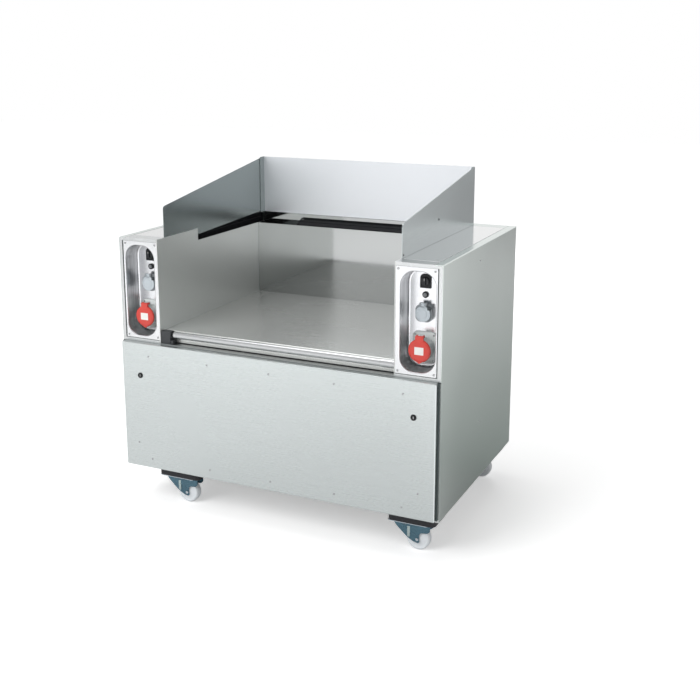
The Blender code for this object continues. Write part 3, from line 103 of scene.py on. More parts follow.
class NodeSheet:
    """A node tree with one method that adds every kind of node."""

    def __init__(self, tree: bpy.types.NodeTree) -> None:
        """Clear a tree and take it over.

        Args:
            tree: The node tree of a material or a world.
        """
        self.tree = tree
        tree.nodes.clear()

    def node(self, kind: str, settings: Optional[dict[str, Any]] = None,
             inputs: Optional[dict[Any, Any]] = None, output: int = 0) -> Signal:
        """Add a node.

        Args:
            kind: The node's type name.
            settings: Attributes that are set first; "stops" fills a colour ramp.
            inputs: A value or a Signal for each socket, by name or index.
            output: The output socket that is given back.

        Returns:
            The output as a Signal.
        """
        made = self.tree.nodes.new(kind)
        for key, value in (settings or {}).items():
            if key == "stops":
                self._set_stops(made.color_ramp, value)
            else:
                setattr(made, key, value)
        for key, value in (inputs or {}).items():
            if isinstance(value, Signal):
                self.tree.links.new(value.socket, made.inputs[key])
            else:
                made.inputs[key].default_value = value
        outputs = made.outputs
        return Signal(self, outputs[output] if len(outputs) else None)

    @staticmethod
    def _set_stops(ramp: bpy.types.ColorRamp, stops: Sequence[tuple[float, float]]) -> None:
        """Give a ramp its stops, as (position, grey level) pairs."""
        while len(ramp.elements) < len(stops):
            ramp.elements.new(0.5)
        for element, (position, level) in zip(ramp.elements, stops):
            element.position = position
            element.color = (level, level, level, 1.0)

    def placed(self, scale: Point = (1.0, 1.0, 1.0), turn: Point = NO_TURN) -> Signal:
        """Object coordinates, scaled and turned for one pattern."""
        place = self.node("ShaderNodeTexCoord", output=3)
        return self.node("ShaderNodeMapping", {},
                         {"Vector": place, "Scale": scale, "Rotation": turn})

    def noise(self, scale: Union[float, Point], detail: float = 2.0, turn: Point = NO_TURN,
              distortion: float = 0.0) -> Signal:
        """Noise between 0 and 1, with one scale or one along each axis."""
        scales = (scale, scale, scale) if isinstance(scale, float) else scale
        return self.node("ShaderNodeTexNoise", {},
                         {"Vector": self.placed(scales, turn), "Scale": 1.0, "Detail": detail,
                          "Distortion": distortion})

    def part(self, vector: Signal, index: int) -> Signal:
        """One part of a vector."""
        return self.node("ShaderNodeSeparateXYZ", {}, {0: vector}, index)

    def clamp(self, signal: Signal, most: float = 1.0) -> Signal:
        """A signal kept between 0 and a highest value."""
        return self.node("ShaderNodeClamp", {}, {0: signal, "Max": most})

    def ramp(self, signal: Signal, stops: Sequence[tuple[float, float]]) -> Signal:
        """A signal through a ramp of grey levels."""
        return self.node("ShaderNodeValToRGB", {"stops": stops}, {0: signal})

    def blend(self, factor: Signal, first: Union[Colour, Signal], second: Colour) -> Signal:
        """Mix a colour, or a signal that carries one, with another by a factor."""
        start = first if isinstance(first, Signal) else (*first, 1.0)
        return self.node("ShaderNodeMix", {"data_type": "RGBA"},
                         {0: factor, 6: start, 7: (*second, 1.0)}, output=2)

    def bump(self, height: Signal, strength: float, distance: float) -> Signal:
        """A normal bent by a height signal."""
        return self.node("ShaderNodeBump", {},
                         {"Height": height, "Strength": strength, "Distance": distance})


def shaded(colour: Colour, factor: float) -> Colour:
    """A colour times a factor, kept at or below 1."""
    return tuple(min(1.0, part * factor) for part in colour)


# ================================================================ finishes
class Grain(Enum):
    """The way the brush lines run, as the pattern's scale along X, Y and Z."""

    ALONG_X = (9.0, 1500.0, 1500.0)
    ALONG_Y = (1500.0, 9.0, 1500.0)
    ALONG_Z = (1500.0, 1500.0, 9.0)
    NONE = (260.0, 260.0, 260.0)


class Slot(Enum):
    """Material slots."""

    SATIN_STEEL = "satin_steel"
    BRIGHT_STEEL = "bright_steel"
    ZINC_STEEL = "zinc_steel"
    BLACK_PLASTIC = "black_plastic"
    BLACK_LOCK = "black_lock"
    BRACKET_BLACK = "bracket_black"
    MOUNT_BLACK = "mount_black"
    GREY_PLASTIC = "grey_plastic"
    PALE_PLASTIC = "pale_plastic"
    RED_PLASTIC = "red_plastic"
    WHEEL_NYLON = "wheel_nylon"


@dataclass(frozen=True)
class Finish:
    """A finish and its slot; the classes below say how its nodes are made."""

    name: str
    colour: Colour
    roughness: float
    slot: Slot = field(default=Slot.SATIN_STEEL, kw_only=True)

    def material(self) -> bpy.types.Material:
        """The finish's material, made on first use."""
        found = bpy.data.materials.get(self.name)
        if found is None:
            found = bpy.data.materials.new(self.name)
            found.use_nodes = True
            sheet = NodeSheet(found.node_tree)
            shader = sheet.node("ShaderNodeBsdfPrincipled", {}, self.inputs(sheet))
            sheet.node("ShaderNodeOutputMaterial", {}, {"Surface": shader})
            found.diffuse_color = (*self.colour, 1.0)
        return found

    def inputs(self, sheet: NodeSheet) -> dict[str, Any]:
        """The shader's sockets."""
        raise NotImplementedError


@dataclass(frozen=True)
class Steel(Finish):
    """Sheet steel: brush lines, cloudy rolling marks and wiped smudges."""

    grain: Grain = Grain.ALONG_X
    grain_amount: float = 0.05
    cloud_amount: float = 0.05
    smudge_amount: float = 0.06
    bump: float = 0.015
    tone: float = 0.05
    metallic: float = 1.0

    def inputs(self, sheet: NodeSheet) -> dict[str, Any]:
        """Colour, roughness and normal from the brush lines, clouds and smudges."""
        lines = sheet.noise(self.grain.value, 3.0)
        clouds = sheet.noise((2.1, 1.7, 2.6), 3.0, (0.4, 0.2, 0.9), 0.6)
        wiped = sheet.ramp(sheet.noise((5.0, 6.0, 3.4), 2.0, (0.7, 0.3, 0.2), 0.5),
                           ((0.42, 0.0), (0.80, 1.0)))
        tone = clouds * 0.7 + lines * 0.3
        colour = sheet.blend(tone, shaded(self.colour, 1.0 - self.tone),
                             shaded(self.colour, 1.0 + self.tone))
        rough = ((lines - 0.5) * self.grain_amount + (clouds - 0.5) * self.cloud_amount
                 + wiped * self.smudge_amount + self.roughness)
        normal = sheet.bump(lines, self.bump, 0.0004)
        return {"Base Color": colour, "Roughness": rough, "Metallic": self.metallic,
                "Normal": normal}


@dataclass(frozen=True)
class DrawnWithPaintedShade(Steel):
    """Deep-drawn steel with painted shade: the walls darken between the rim and the bottom, in
    streaks.
    """

    rim: float = -0.3525
    bottom: float = -0.2905

    def inputs(self, sheet: NodeSheet) -> dict[str, Any]:
        """The sheet steel's sockets, with painted shade in streaks along the walls."""
        made = super().inputs(sheet)
        way = (sheet.part(sheet.placed(), 1) - self.rim) * (1.0 / (self.bottom - self.rim))
        # Painted shade down the well: none at the rim, darkest on the walls, fading out at the
        # bottom.
        wall = sheet.ramp(way, ((0.0, 0.0), (0.06, 0.55), (0.45, 1.0), (0.90, 0.80), (0.985, 0.0)))
        shade_streaks = sheet.noise((300.0, 300.0, 3.0), 3.0, (0.0, 0.0, 0.5))
        made["Base Color"] = sheet.blend(sheet.clamp(wall * (shade_streaks * 0.9 + 0.22)),
                                         made["Base Color"], shaded(self.colour, 0.22))
        made["Roughness"] = wall * 0.10 + made["Roughness"]
        return made


@dataclass(frozen=True)
class Zinc(Finish):
    """Pressed steel with a bluish zinc coat: spangle patches and a fine tooth."""

    slot: Slot = field(default=Slot.ZINC_STEEL, kw_only=True)

    def inputs(self, sheet: NodeSheet) -> dict[str, Any]:
        """Colour and roughness from the spangle, normal from the tooth."""
        spangle = sheet.noise(210.0, 1.0)
        clouds = sheet.noise(28.0, 3.0)
        tooth = sheet.noise(1500.0)
        tone = spangle * 0.45 + clouds * 0.55
        colour = sheet.blend(tone, shaded(self.colour, 0.82), shaded(self.colour, 1.14))
        rough = (spangle - 0.5) * 0.16 + (clouds - 0.5) * 0.10 + self.roughness
        normal = sheet.bump(tooth + spangle, 0.06, 0.0003)
        return {"Base Color": colour, "Roughness": rough, "Metallic": 1.0, "Normal": normal}


@dataclass(frozen=True)
class Moulded(Finish):
    """Moulded plastic or nylon: a faint mottle, an eroded mould texture and handled patches."""

    mottle: float = 0.06
    texture: float = 0.10
    specular: float = 0.5
    slot: Slot = field(default=Slot.BLACK_PLASTIC, kw_only=True)

    def inputs(self, sheet: NodeSheet) -> dict[str, Any]:
        """Colour from the mottle, roughness from handling, normal from the mould texture."""
        mottle = sheet.noise(46.0, 3.0)
        handled = sheet.noise(13.0, 4.0, (0.3, 0.8, 0.1), 0.8)
        texture = sheet.noise(900.0)
        colour = sheet.blend(mottle * 0.7 + handled * 0.3, shaded(self.colour, 1.0 - self.mottle),
                             shaded(self.colour, 1.0 + self.mottle))
        rough = (handled - 0.5) * 0.14 + (texture - 0.5) * 0.10 + self.roughness
        normal = sheet.bump(texture, self.texture, 0.0002)
        return {"Base Color": colour, "Roughness": rough, "Normal": normal,
                "Specular IOR Level": self.specular}


@dataclass(frozen=True)
class Painted(Finish):
    """Stoved paint: orange peel, a little dust and thin wear."""

    def inputs(self, sheet: NodeSheet) -> dict[str, Any]:
        """Colour from dust, roughness from wear, normal from the orange peel."""
        peel = sheet.noise(420.0)
        dust = sheet.ramp(sheet.noise((9.0, 9.0, 15.0), 5.0, (0.2, 0.1, 0.0), 0.5),
                          ((0.45, 0.0), (0.80, 1.0)))
        colour = sheet.blend(dust * 0.55, self.colour, (0.34, 0.34, 0.33))
        rough = dust * 0.25 + (peel - 0.5) * 0.10 + self.roughness
        normal = sheet.bump(peel, 0.12, 0.0005)
        return {"Base Color": colour, "Roughness": rough, "Normal": normal}


@dataclass(frozen=True)
class Fleece(Finish):
    """Black carbon filter fleece: short tangled fibres."""

    slot: Slot = field(default=Slot.BLACK_PLASTIC, kw_only=True)

    def inputs(self, sheet: NodeSheet) -> dict[str, Any]:
        """Colour, roughness and a deep normal from the fibres."""
        fibres = sheet.noise((700.0, 700.0, 240.0), 4.0, (0.5, 0.4, 0.2), 1.2)
        tufts = sheet.noise(60.0, 3.0)
        colour = sheet.blend(fibres * 0.6 + tufts * 0.4, shaded(self.colour, 0.4),
                             shaded(self.colour, 1.9))
        rough = (fibres - 0.5) * 0.2 + self.roughness
        return {"Base Color": colour, "Roughness": rough, "Normal": sheet.bump(fibres, 0.6, 0.001)}


PANEL_STEEL = Steel("panel_steel", (0.62, 0.66, 0.66), 0.27, cloud_amount=0.02,
                    smudge_amount=0.02, tone=0.02)
SIDE_STEEL = Steel("side_steel", (0.69, 0.74, 0.72), 0.22, Grain.ALONG_Z, cloud_amount=0.03,
                   smudge_amount=0.03, tone=0.03)
TOP_STEEL = Steel("top_steel", (0.80, 0.805, 0.805), 0.12, Grain.ALONG_Y, 0.03, 0.03, 0.03, 0.01,
                  0.02)
SILL_STEEL = Steel("sill_steel", (0.50, 0.515, 0.52), 0.30, Grain.ALONG_X, 0.04, 0.03, 0.03,
                   tone=0.04)
GUARD_STEEL = Steel("guard_steel", (0.50, 0.54, 0.55), 0.25, Grain.ALONG_Y, 0.04, 0.03, 0.03, 0.01)
# Painted shade: the left wing's steel is a darker copy of the guard steel.
SHADED_LEFT_GUARD_STEEL = Steel("left_guard_steel", (0.30, 0.335, 0.335), 0.24, Grain.ALONG_Y, 0.04, 0.03,
                         0.03, 0.01)
REAR_GUARD_STEEL = Steel("rear_guard_steel", (0.86, 0.885, 0.92), 0.45, Grain.ALONG_X, 0.02, 0.02,
                         0.02, 0.008, 0.012, 0.70, slot=Slot.BRIGHT_STEEL)
BAY_STEEL = Steel("bay_steel", (0.75, 0.77, 0.755), 0.28, Grain.ALONG_Y, 0.015, 0.03, 0.03, 0.002,
                  0.02, 0.74)
# Painted shade: the bay's rear sheet is a much darker copy of the bay steel.
SHADED_BAY_REAR_STEEL = Steel("bay_rear_steel", (0.37, 0.38, 0.38), 0.06, Grain.ALONG_X, 0.02, 0.02, 0.02,
                       0.006, 0.02, slot=Slot.BRIGHT_STEEL)
FLOOR_STEEL = Steel("bay_floor_steel", (0.75, 0.765, 0.745), 0.26, smudge_amount=0.015, bump=0.003,
                    tone=0.03, metallic=0.72)
CONSOLE_STEEL = Steel("console_steel", (0.76, 0.77, 0.785), 0.24, Grain.ALONG_Z, 0.04, 0.03, 0.03,
                      tone=0.02, slot=Slot.BRIGHT_STEEL)
# Painted shade: this steel darkens down the well's walls.
SHADED_WELL_STEEL = DrawnWithPaintedShade("well_steel", (0.78, 0.79, 0.81), 0.24, Grain.ALONG_Z, 0.05, 0.04, 0.03,
                   tone=0.02, slot=Slot.BRIGHT_STEEL)
PILLAR_STEEL = Steel("pillar_steel", (0.62, 0.635, 0.64), 0.27, Grain.ALONG_Z, 0.04, 0.03, 0.03,
                     0.02, 0.03)
INNER_STEEL = Steel("inner_steel", (0.58, 0.59, 0.59), 0.30)
RAIL_STEEL = Steel("rail_steel", (0.58, 0.59, 0.60), 0.22, Grain.ALONG_X, 0.04, 0.03, 0.03, 0.03,
                   0.03, slot=Slot.BRIGHT_STEEL)
SCREW_STEEL = Steel("screw_steel", (0.52, 0.53, 0.54), 0.26, Grain.NONE, 0.05, 0.05, 0.04, 0.03,
                    0.06, slot=Slot.BRIGHT_STEEL)
FORK_ZINC = Zinc("fork_zinc", (0.11, 0.20, 0.255), 0.28)
# Painted highlight: the rib on each fork leg takes a much lighter copy of the fork's zinc.
LIT_RIB_ZINC = Zinc("rib_zinc", (0.52, 0.62, 0.62), 0.28)
PLATE_ZINC = Zinc("plate_zinc", (0.58, 0.64, 0.70), 0.30)
AXLE_ZINC = Zinc("axle_zinc", (0.62, 0.67, 0.72), 0.24)
SWITCH_BLACK = Moulded("switch_black", (0.010, 0.012, 0.014), 0.36, specular=0.3)
KNOB_BLACK = Moulded("knob_black", (0.018, 0.021, 0.024), 0.30, specular=0.4)
LOCK_BLACK = Moulded("lock_black", (0.010, 0.011, 0.012), 0.36, specular=0.3, slot=Slot.BLACK_LOCK)
BRACKET_BLACK = Moulded("bracket_black", (0.040, 0.050, 0.052), 0.42, specular=0.3,
                        slot=Slot.BRACKET_BLACK)
MOUNT_BLACK = Moulded("mount_black", (0.005, 0.007, 0.007), 0.60, texture=0.2, specular=0.06,
                      slot=Slot.MOUNT_BLACK)
GRILLE_BLACK = Moulded("grille_black", (0.008, 0.009, 0.011), 0.5, specular=0.2)
OUTLET_GREY = Moulded("outlet_grey", (0.30, 0.33, 0.35), 0.36, 0.04, slot=Slot.GREY_PLASTIC)
LID_GREY = Moulded("lid_grey", (0.56, 0.62, 0.66), 0.30, 0.04, slot=Slot.GREY_PLASTIC)
HINGE_DARK = Moulded("hinge_dark", (0.05, 0.06, 0.065), 0.4, specular=0.3)
FLANGE_PALE = Moulded("flange_pale", (0.82, 0.86, 0.85), 0.36, 0.04, slot=Slot.PALE_PLASTIC)
LID_RED = Moulded("lid_red", (0.64, 0.060, 0.045), 0.36, 0.10, slot=Slot.RED_PLASTIC)
LABEL_WHITE = Moulded("label_white", (0.86, 0.85, 0.82), 0.5, 0.03, 0.04, slot=Slot.PALE_PLASTIC)
BUTTON_GREY = Moulded("button_grey", (0.20, 0.21, 0.22), 0.38, slot=Slot.GREY_PLASTIC)
WHEEL_NYLON = Moulded("wheel_nylon", (0.60, 0.69, 0.76), 0.40, 0.05, slot=Slot.WHEEL_NYLON)
# Painted shade: dark strips laid in the seams round the top covers, the consoles and the front
# panel.
SEAM_SHADE_DARK = Moulded("seal_dark", (0.075, 0.095, 0.095), 0.6, specular=0.3)
BLOWER_PAINT = Painted("blower_paint", (0.09, 0.14, 0.19), 0.42)
MOTOR_PAINT = Painted("motor_paint", (0.05, 0.055, 0.06), 0.4)
BOX_PAINT = Painted("box_paint", (0.50, 0.52, 0.53), 0.42)
CARBON_FLEECE = Fleece("carbon_fleece", (0.02, 0.021, 0.023), 0.85)


# ================================================================ making meshes
class Plane(Enum):
    """The plane in which an outline is drawn; its two values are the outline's coordinates."""

    XY = Matrix.Identity(4)
    XZ = Matrix(((1, 0, 0, 0), (0, 0, 1, 0), (0, 1, 0, 0), (0, 0, 0, 1)))
    YZ = Matrix(((0, 0, 1, 0), (1, 0, 0, 0), (0, 1, 0, 0), (0, 0, 0, 1)))


AXIS_TURN = {
    "X": Matrix.Rotation(math.pi / 2, 4, "Y"),
    "Y": Matrix.Rotation(-math.pi / 2, 4, "X"),
    "Z": Matrix.Identity(4),
    "-X": Matrix.Rotation(-math.pi / 2, 4, "Y"),
    "-Y": Matrix.Rotation(math.pi / 2, 4, "X"),
    "-Z": Matrix.Rotation(math.pi, 4, "X"),
}


class Blank:
    """A mesh on the bench: shapes are added to it, then it becomes a piece."""

    SHARP = math.radians(32)

    def __init__(self) -> None:
        """Start with an empty mesh."""
        self.bm = bmesh.new()

    def _round(self, edges: Sequence[bmesh.types.BMEdge], radius: float, steps: int) -> None:
        """Bevel some edges."""
        bmesh.ops.bevel(self.bm, geom=list(edges), offset=radius, offset_type="OFFSET",
                        segments=steps, profile=0.5, affect="EDGES", material=-1,
                        clamp_overlap=True)

    def _sharp_edges(self, verts: Sequence[bmesh.types.BMVert],
                     angle: float = math.radians(50)) -> list[bmesh.types.BMEdge]:
        """The edges of some vertices where two faces meet at more than an angle."""
        self.bm.normal_update()
        edges = {edge for vert in verts for edge in vert.link_edges}
        return [edge for edge in edges
                if len(edge.link_faces) == 2 and edge.calc_face_angle(0.0) > angle]

    def box(self, low: Point, high: Point, radius: float = 0.0, steps: int = 3) -> "Blank":
        """Add a box between two corners, with its edges rounded."""
        low, high = Vector(low), Vector(high)
        made = bmesh.ops.create_cube(self.bm, size=1.0)["verts"]
        bmesh.ops.scale(self.bm, vec=high - low, verts=made)
        bmesh.ops.translate(self.bm, vec=(high + low) / 2, verts=made)
        if radius > 0:
            self._round({edge for vert in made for edge in vert.link_edges}, radius, steps)
        return self

    def drum(self, centre: Point, axis: str, radius: float, length: float, ease: float = 0.0,
             sides: int = 40, far_radius: Optional[float] = None, steps: int = 3) -> "Blank":
        """Add a drum or cone about an axis, with its rims rounded."""
        place = Matrix.Translation(centre) @ AXIS_TURN[axis]
        made = bmesh.ops.create_cone(
            self.bm, cap_ends=True, segments=sides, radius1=radius,
            radius2=radius if far_radius is None else far_radius, depth=length, matrix=place)
        if ease > 0:
            self._round(self._sharp_edges(made["verts"]), ease, steps)
        return self

    def turned(self, profile: Sequence[Point], centre: Point, axis: str, steps: int = 40,
               closed: bool = False) -> "Blank":
        """Add a turned shape.

        Args:
            profile: (radius, height) points; an open one starts and ends on the axis.
            centre: Where height 0 lies on the axis.
            axis: The axis along which height grows.
            steps: Sides of the full turn.
            closed: Whether the profile is a ring.

        Returns:
            The blank itself.
        """
        verts = [self.bm.verts.new((r, 0.0, h)) for r, h in profile]
        pairs = list(zip(verts, verts[1:])) + ([(verts[-1], verts[0])] if closed else [])
        edges = [self.bm.edges.new(pair) for pair in pairs]
        before = set(self.bm.faces)
        bmesh.ops.spin(self.bm, geom=verts + edges, cent=(0, 0, 0), axis=(0, 0, 1), dvec=(0, 0, 0),
                       angle=2 * math.pi, steps=steps, use_merge=True, use_duplicate=False)
        faces = [face for face in self.bm.faces if face not in before]
        made = list({vert for face in faces for vert in face.verts})
        bmesh.ops.remove_doubles(self.bm, verts=made, dist=1e-6)
        faces = [face for face in self.bm.faces if face not in before]
        bmesh.ops.recalc_face_normals(self.bm, faces=faces)
        made = list({vert for face in faces for vert in face.verts})
        bmesh.ops.transform(self.bm, verts=made,
                            matrix=Matrix.Translation(centre) @ AXIS_TURN[axis])
        return self

    def outline_face(self, points: Sequence[Point], radii: Sequence[float],
                     steps: int) -> bmesh.types.BMFace:
        """Add a flat face with rounded corners.

        Args:
            points: Its corners.
            radii: A radius for each corner.
            steps: Segments of each rounded corner.

        Returns:
            The face.
        """
        before = set(self.bm.faces)
        verts = [self.bm.verts.new(point) for point in points]
        self.bm.faces.new(verts)
        for vert, radius in zip(verts, radii):
            if radius > 0:
                bmesh.ops.bevel(self.bm, geom=[vert], offset=radius, offset_type="OFFSET",
                                segments=steps, profile=0.5, affect="VERTICES", material=-1)
        return next(face for face in self.bm.faces if face not in before)

    def plate(self, outline: Sequence[Point], plane: Plane, span: Point, corners: Point = (),
              ease: float = 0.0, round_steps: int = 6) -> "Blank":
        """Add a flat plate.

        Args:
            outline: Corners in the plane.
            plane: The plane of the outline.
            span: Where the plate starts and ends across the plane.
            corners: A radius for each corner, or one for all.
            ease: Radius along both faces' rims.
            round_steps: Segments of each rounded corner.

        Returns:
            The blank itself.
        """
        before = set(self.bm.faces)
        radii = list(corners) * (len(outline) if len(corners) == 1 else 1)
        face = self.outline_face([(a, b, span[0]) for a, b in outline], radii, round_steps)
        drawn = bmesh.ops.extrude_face_region(self.bm, geom=[face], use_keep_orig=True)["geom"]
        top = [item for item in drawn if isinstance(item, bmesh.types.BMVert)]
        bmesh.ops.translate(self.bm, vec=(0, 0, span[1] - span[0]), verts=top)
        faces = [item for item in self.bm.faces if item not in before]
        made = list({vert for item in faces for vert in item.verts})
        bmesh.ops.transform(self.bm, matrix=plane.value, verts=made)
        bmesh.ops.recalc_face_normals(self.bm, faces=faces)
        if ease > 0:
            self._round(self._sharp_edges(made, math.radians(75)), ease, 2)
        return self

    def fold(self, line: Sequence[Point], plane: Plane, span: Point, radius: float,
             outward: Point, thickness: float = SHEET, steps: int = 4) -> "Blank":
        """Add a folded sheet.

        Args:
            line: The outer face's line in the plane.
            plane: The plane of the line.
            span: Where the sheet starts and ends across the plane.
            radius: Outer bend radius.
            outward: A direction the first stretch of the sheet faces.
            thickness: The sheet's.
            steps: Segments of each bend.

        Returns:
            The blank itself.
        """
        verts = [self.bm.verts.new((a, b, span[0])) for a, b in line]
        edges = [self.bm.edges.new(pair) for pair in zip(verts, verts[1:])]
        before = set(self.bm.faces)
        drawn = bmesh.ops.extrude_edge_only(self.bm, edges=edges)["geom"]
        moved = [item for item in drawn if isinstance(item, bmesh.types.BMVert)]
        bmesh.ops.translate(self.bm, vec=(0, 0, span[1] - span[0]), verts=moved)
        faces = [item for item in self.bm.faces if item not in before]
        made = list({vert for item in faces for vert in item.verts})
        bmesh.ops.transform(self.bm, matrix=plane.value, verts=made)
        self.bm.normal_update()
        first = next(iter(edges)).link_faces[0]
        if first.normal.dot(Vector(outward)) < 0:
            bmesh.ops.reverse_faces(self.bm, faces=faces)
        folds = {edge for item in faces for edge in item.edges if len(edge.link_faces) == 2}
        if folds:
            self._round(folds, radius, steps)
        faces = [item for item in self.bm.faces if item not in before]
        self.bm.normal_update()
        bmesh.ops.solidify(self.bm, geom=faces, thickness=thickness)
        return self

    def screw(self, place: Point, axis: str, radius: float = 0.0036,
              rise: float = 0.0015) -> "Blank":
        """Add a low domed screw head with a socket, standing out along an axis."""
        profile = ((0.0, rise * 0.25), (radius * 0.38, rise * 0.25), (radius * 0.40, rise),
                   (radius * 0.66, rise * 0.93), (radius * 0.88, rise * 0.62),
                   (radius, rise * 0.1), (radius, -rise * 0.2), (0.0, -rise * 0.2))
        return self.turned(profile, place, axis, steps=18)

    def copied(self, node: str, ease: float, steps: int = 2) -> "Blank":
        """Add a merged copy of a CAD node with its sharp edges eased."""
        self.bm.from_mesh(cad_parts[node].data)
        bmesh.ops.remove_doubles(self.bm, verts=self.bm.verts, dist=1e-5)
        bmesh.ops.dissolve_limit(self.bm, angle_limit=math.radians(1.0), verts=self.bm.verts,
                                 edges=self.bm.edges)
        if ease > 0:
            self._round(self._sharp_edges(list(self.bm.verts), math.radians(40)), ease, steps)
        return self

    def sink(self, face: bmesh.types.BMFace, steps: Sequence[Point],
             boundary: bool = False) -> None:
        """Inset a face again and again, and move it along Y each time.

        Args:
            face: The face that moves.
            steps: How far it goes in and along Y at each step.
            boundary: Whether the face's rim is open.
        """
        for shrink, drop in steps:
            bmesh.ops.inset_region(self.bm, faces=[face], thickness=shrink, use_even_offset=True,
                                   use_boundary=boundary)
            bmesh.ops.translate(self.bm, vec=(0, drop, 0), verts=face.verts)

    def piece(self, name: str, finish: Finish, node: str = "", body: str = "cabinet",
              slot: Optional[Slot] = None) -> bpy.types.Object:
        """Turn the blank into a finished piece.

        Args:
            name: The piece's name.
            finish: Its finish.
            node: The CAD node it stands for, where it stands for one.
            body: The body it rides on.
            slot: Not used.

        Returns:
            The piece.
        """
        self.bm.normal_update()
        for face in self.bm.faces:
            face.smooth = True
        for edge in self.bm.edges:
            edge.smooth = len(edge.link_faces) == 2 and edge.calc_face_angle(0.0) < self.SHARP
        mesh = bpy.data.meshes.new(name)
        self.bm.to_mesh(mesh)
        self.bm.free()
        mesh.materials.append(finish.material())
        made = bpy.data.objects.new(name, mesh)
        bpy.context.scene.collection.objects.link(made)
        even = made.modifiers.new("even_normals", "WEIGHTED_NORMAL")
        even.mode = "FACE_AREA"
        even.weight = 100
        even.keep_sharp = True
        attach(made, body)
        if node:
            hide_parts(node)
        LOG.info("%s rides on %s", name, body)
        return made


def dress_node(node: str, finish: Finish) -> None:
    """Give a CAD node that stays a better material."""
    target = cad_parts[node]
    target.data.materials.clear()
    target.data.materials.append(finish.material())
    LOG.info("%s keeps its shape", node)


def side_span(side: float, near: float, far: float) -> tuple[float, float]:
    """The span between two distances from the middle plane on one side, low value first."""
    return tuple(sorted((side * near, side * far)))


def middle(node: str) -> Vector:
    """The middle of a CAD node's box."""
    low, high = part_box(node)
    return (low + high) / 2


def rectangle(low: Point, high: Point) -> list[tuple[float, float]]:
    """The four corners of a rectangle in a plane, from its lowest and highest corner."""
    return [(low[0], low[1]), (high[0], low[1]), (high[0], high[1]), (low[0], high[1])]


def rectangle_round(centre: Point, half_a: float, half_b: float) -> list[tuple[float, float]]:
    """The four corners of a rectangle in a plane, round its centre."""
    a, b = centre
    return rectangle((a - half_a, b - half_b), (a + half_a, b + half_b))


# ================================================================ cabinet
@dataclass
class Cabinet:
    """The outer skins: side panels, rear panel, pillar frames, top covers and the tray."""

    half: float = 0.555
    underside: float = 0.123
    counter: float = 0.900
    top_fold: float = 0.025
    bend: float = 0.0035
    edge: float = 0.0005
    cover_gap: float = 0.0016
    strip_inset: float = 0.0002
    strip_proud: float = 0.0004
    strip_drop: float = 0.0003
    side_screws: tuple[tuple[float, float], ...] = ((-0.01665, 0.851), (0.01935, 0.317))
    rear_screw_columns: tuple[float, ...] = (0.135, 0.500)
    rear_screw_rows: tuple[float, ...] = (0.170, 0.860)
    rear_screw_radius: float = 0.0038
    rear_screw_rise: float = 0.0016

    def build(self) -> None:
        """Make every skin of the cabinet."""
        for label, side in SIDES:
            self.side_panel(label, side)
            self.pillar_frame(label)
            self.top_cover(label, side)
        self.rear_panel()
        self.tray_and_posts()

    def side_panel(self, label: str, side: float) -> None:
        """One side skin with its fold on top and its screws."""
        node = f"side_panel_{label}"
        low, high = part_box(node)
        line = ((side * self.half, self.underside), (side * self.half, self.counter),
                (side * (self.half - self.top_fold), self.counter))
        blank = Blank().fold(line, Plane.XZ, (low.y, high.y), self.bend, (side, 0, 0))
        blank.piece(f"side_skin_{label}", SIDE_STEEL, node)
        heads = Blank()
        for y, z in self.side_screws:
            heads.screw((side * self.half, y, z), "X" if side > 0 else "-X")
        heads.piece(f"side_skin_screws_{label}", SCREW_STEEL)

    def pillar_frame(self, label: str) -> None:
        """The frame round a console, with its lips and top fold."""
        node = f"pillar_front_{label}"
        Blank().copied(node, self.edge).piece(f"pillar_frame_{label}", PILLAR_STEEL, node)

    def top_cover(self, label: str, side: float) -> None:
        """One lift-off cover with rounded corners, and a dark strip of painted shade in the seam
        along its outer side.
        """
        node = f"top_cover_{label}"
        low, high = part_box(node)
        inner, outer = sorted((abs(low.x), abs(high.x)))
        near, far = side_span(side, inner, outer - self.cover_gap)
        blank = Blank().box((near, low.y, low.z), (far, high.y, high.z), self.edge)
        blank.piece(f"top_lid_{label}", TOP_STEEL, node, body=node)
        # A dark strip in the seam along the cover's outer side: painted shade.
        near, far = side_span(side, outer - self.cover_gap + self.strip_inset,
                              outer + self.strip_proud)
        strip = Blank().box((near, low.y, low.z), (far, high.y, high.z - self.strip_drop),
                            0.0002, 1)
        strip.piece(f"cover_seam_shade_{label}", SEAM_SHADE_DARK)

    def rear_panel(self) -> None:
        """The rear skin, its louvres and its screws."""
        Blank().copied("rear_panel", self.edge).piece("rear_skin", SIDE_STEEL, "rear_panel")
        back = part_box("rear_panel")[1].y - self.rear_screw_rise
        heads = Blank()
        for column in self.rear_screw_columns:
            for x in (-column, column):
                for z in self.rear_screw_rows:
                    heads.screw((x, back, z), "Y", self.rear_screw_radius, self.rear_screw_rise)
        heads.piece("rear_skin_screws", SCREW_STEEL)

    def tray_and_posts(self) -> None:
        """The tray and the posts behind the front panel."""
        Blank().copied("base_tray", self.edge).piece("floor_tray", INNER_STEEL, "base_tray")
        for label, _ in SIDES:
            node = f"front_post_{label}"
            Blank().copied(node, self.edge).piece(f"inner_post_{label}", INNER_STEEL, node)


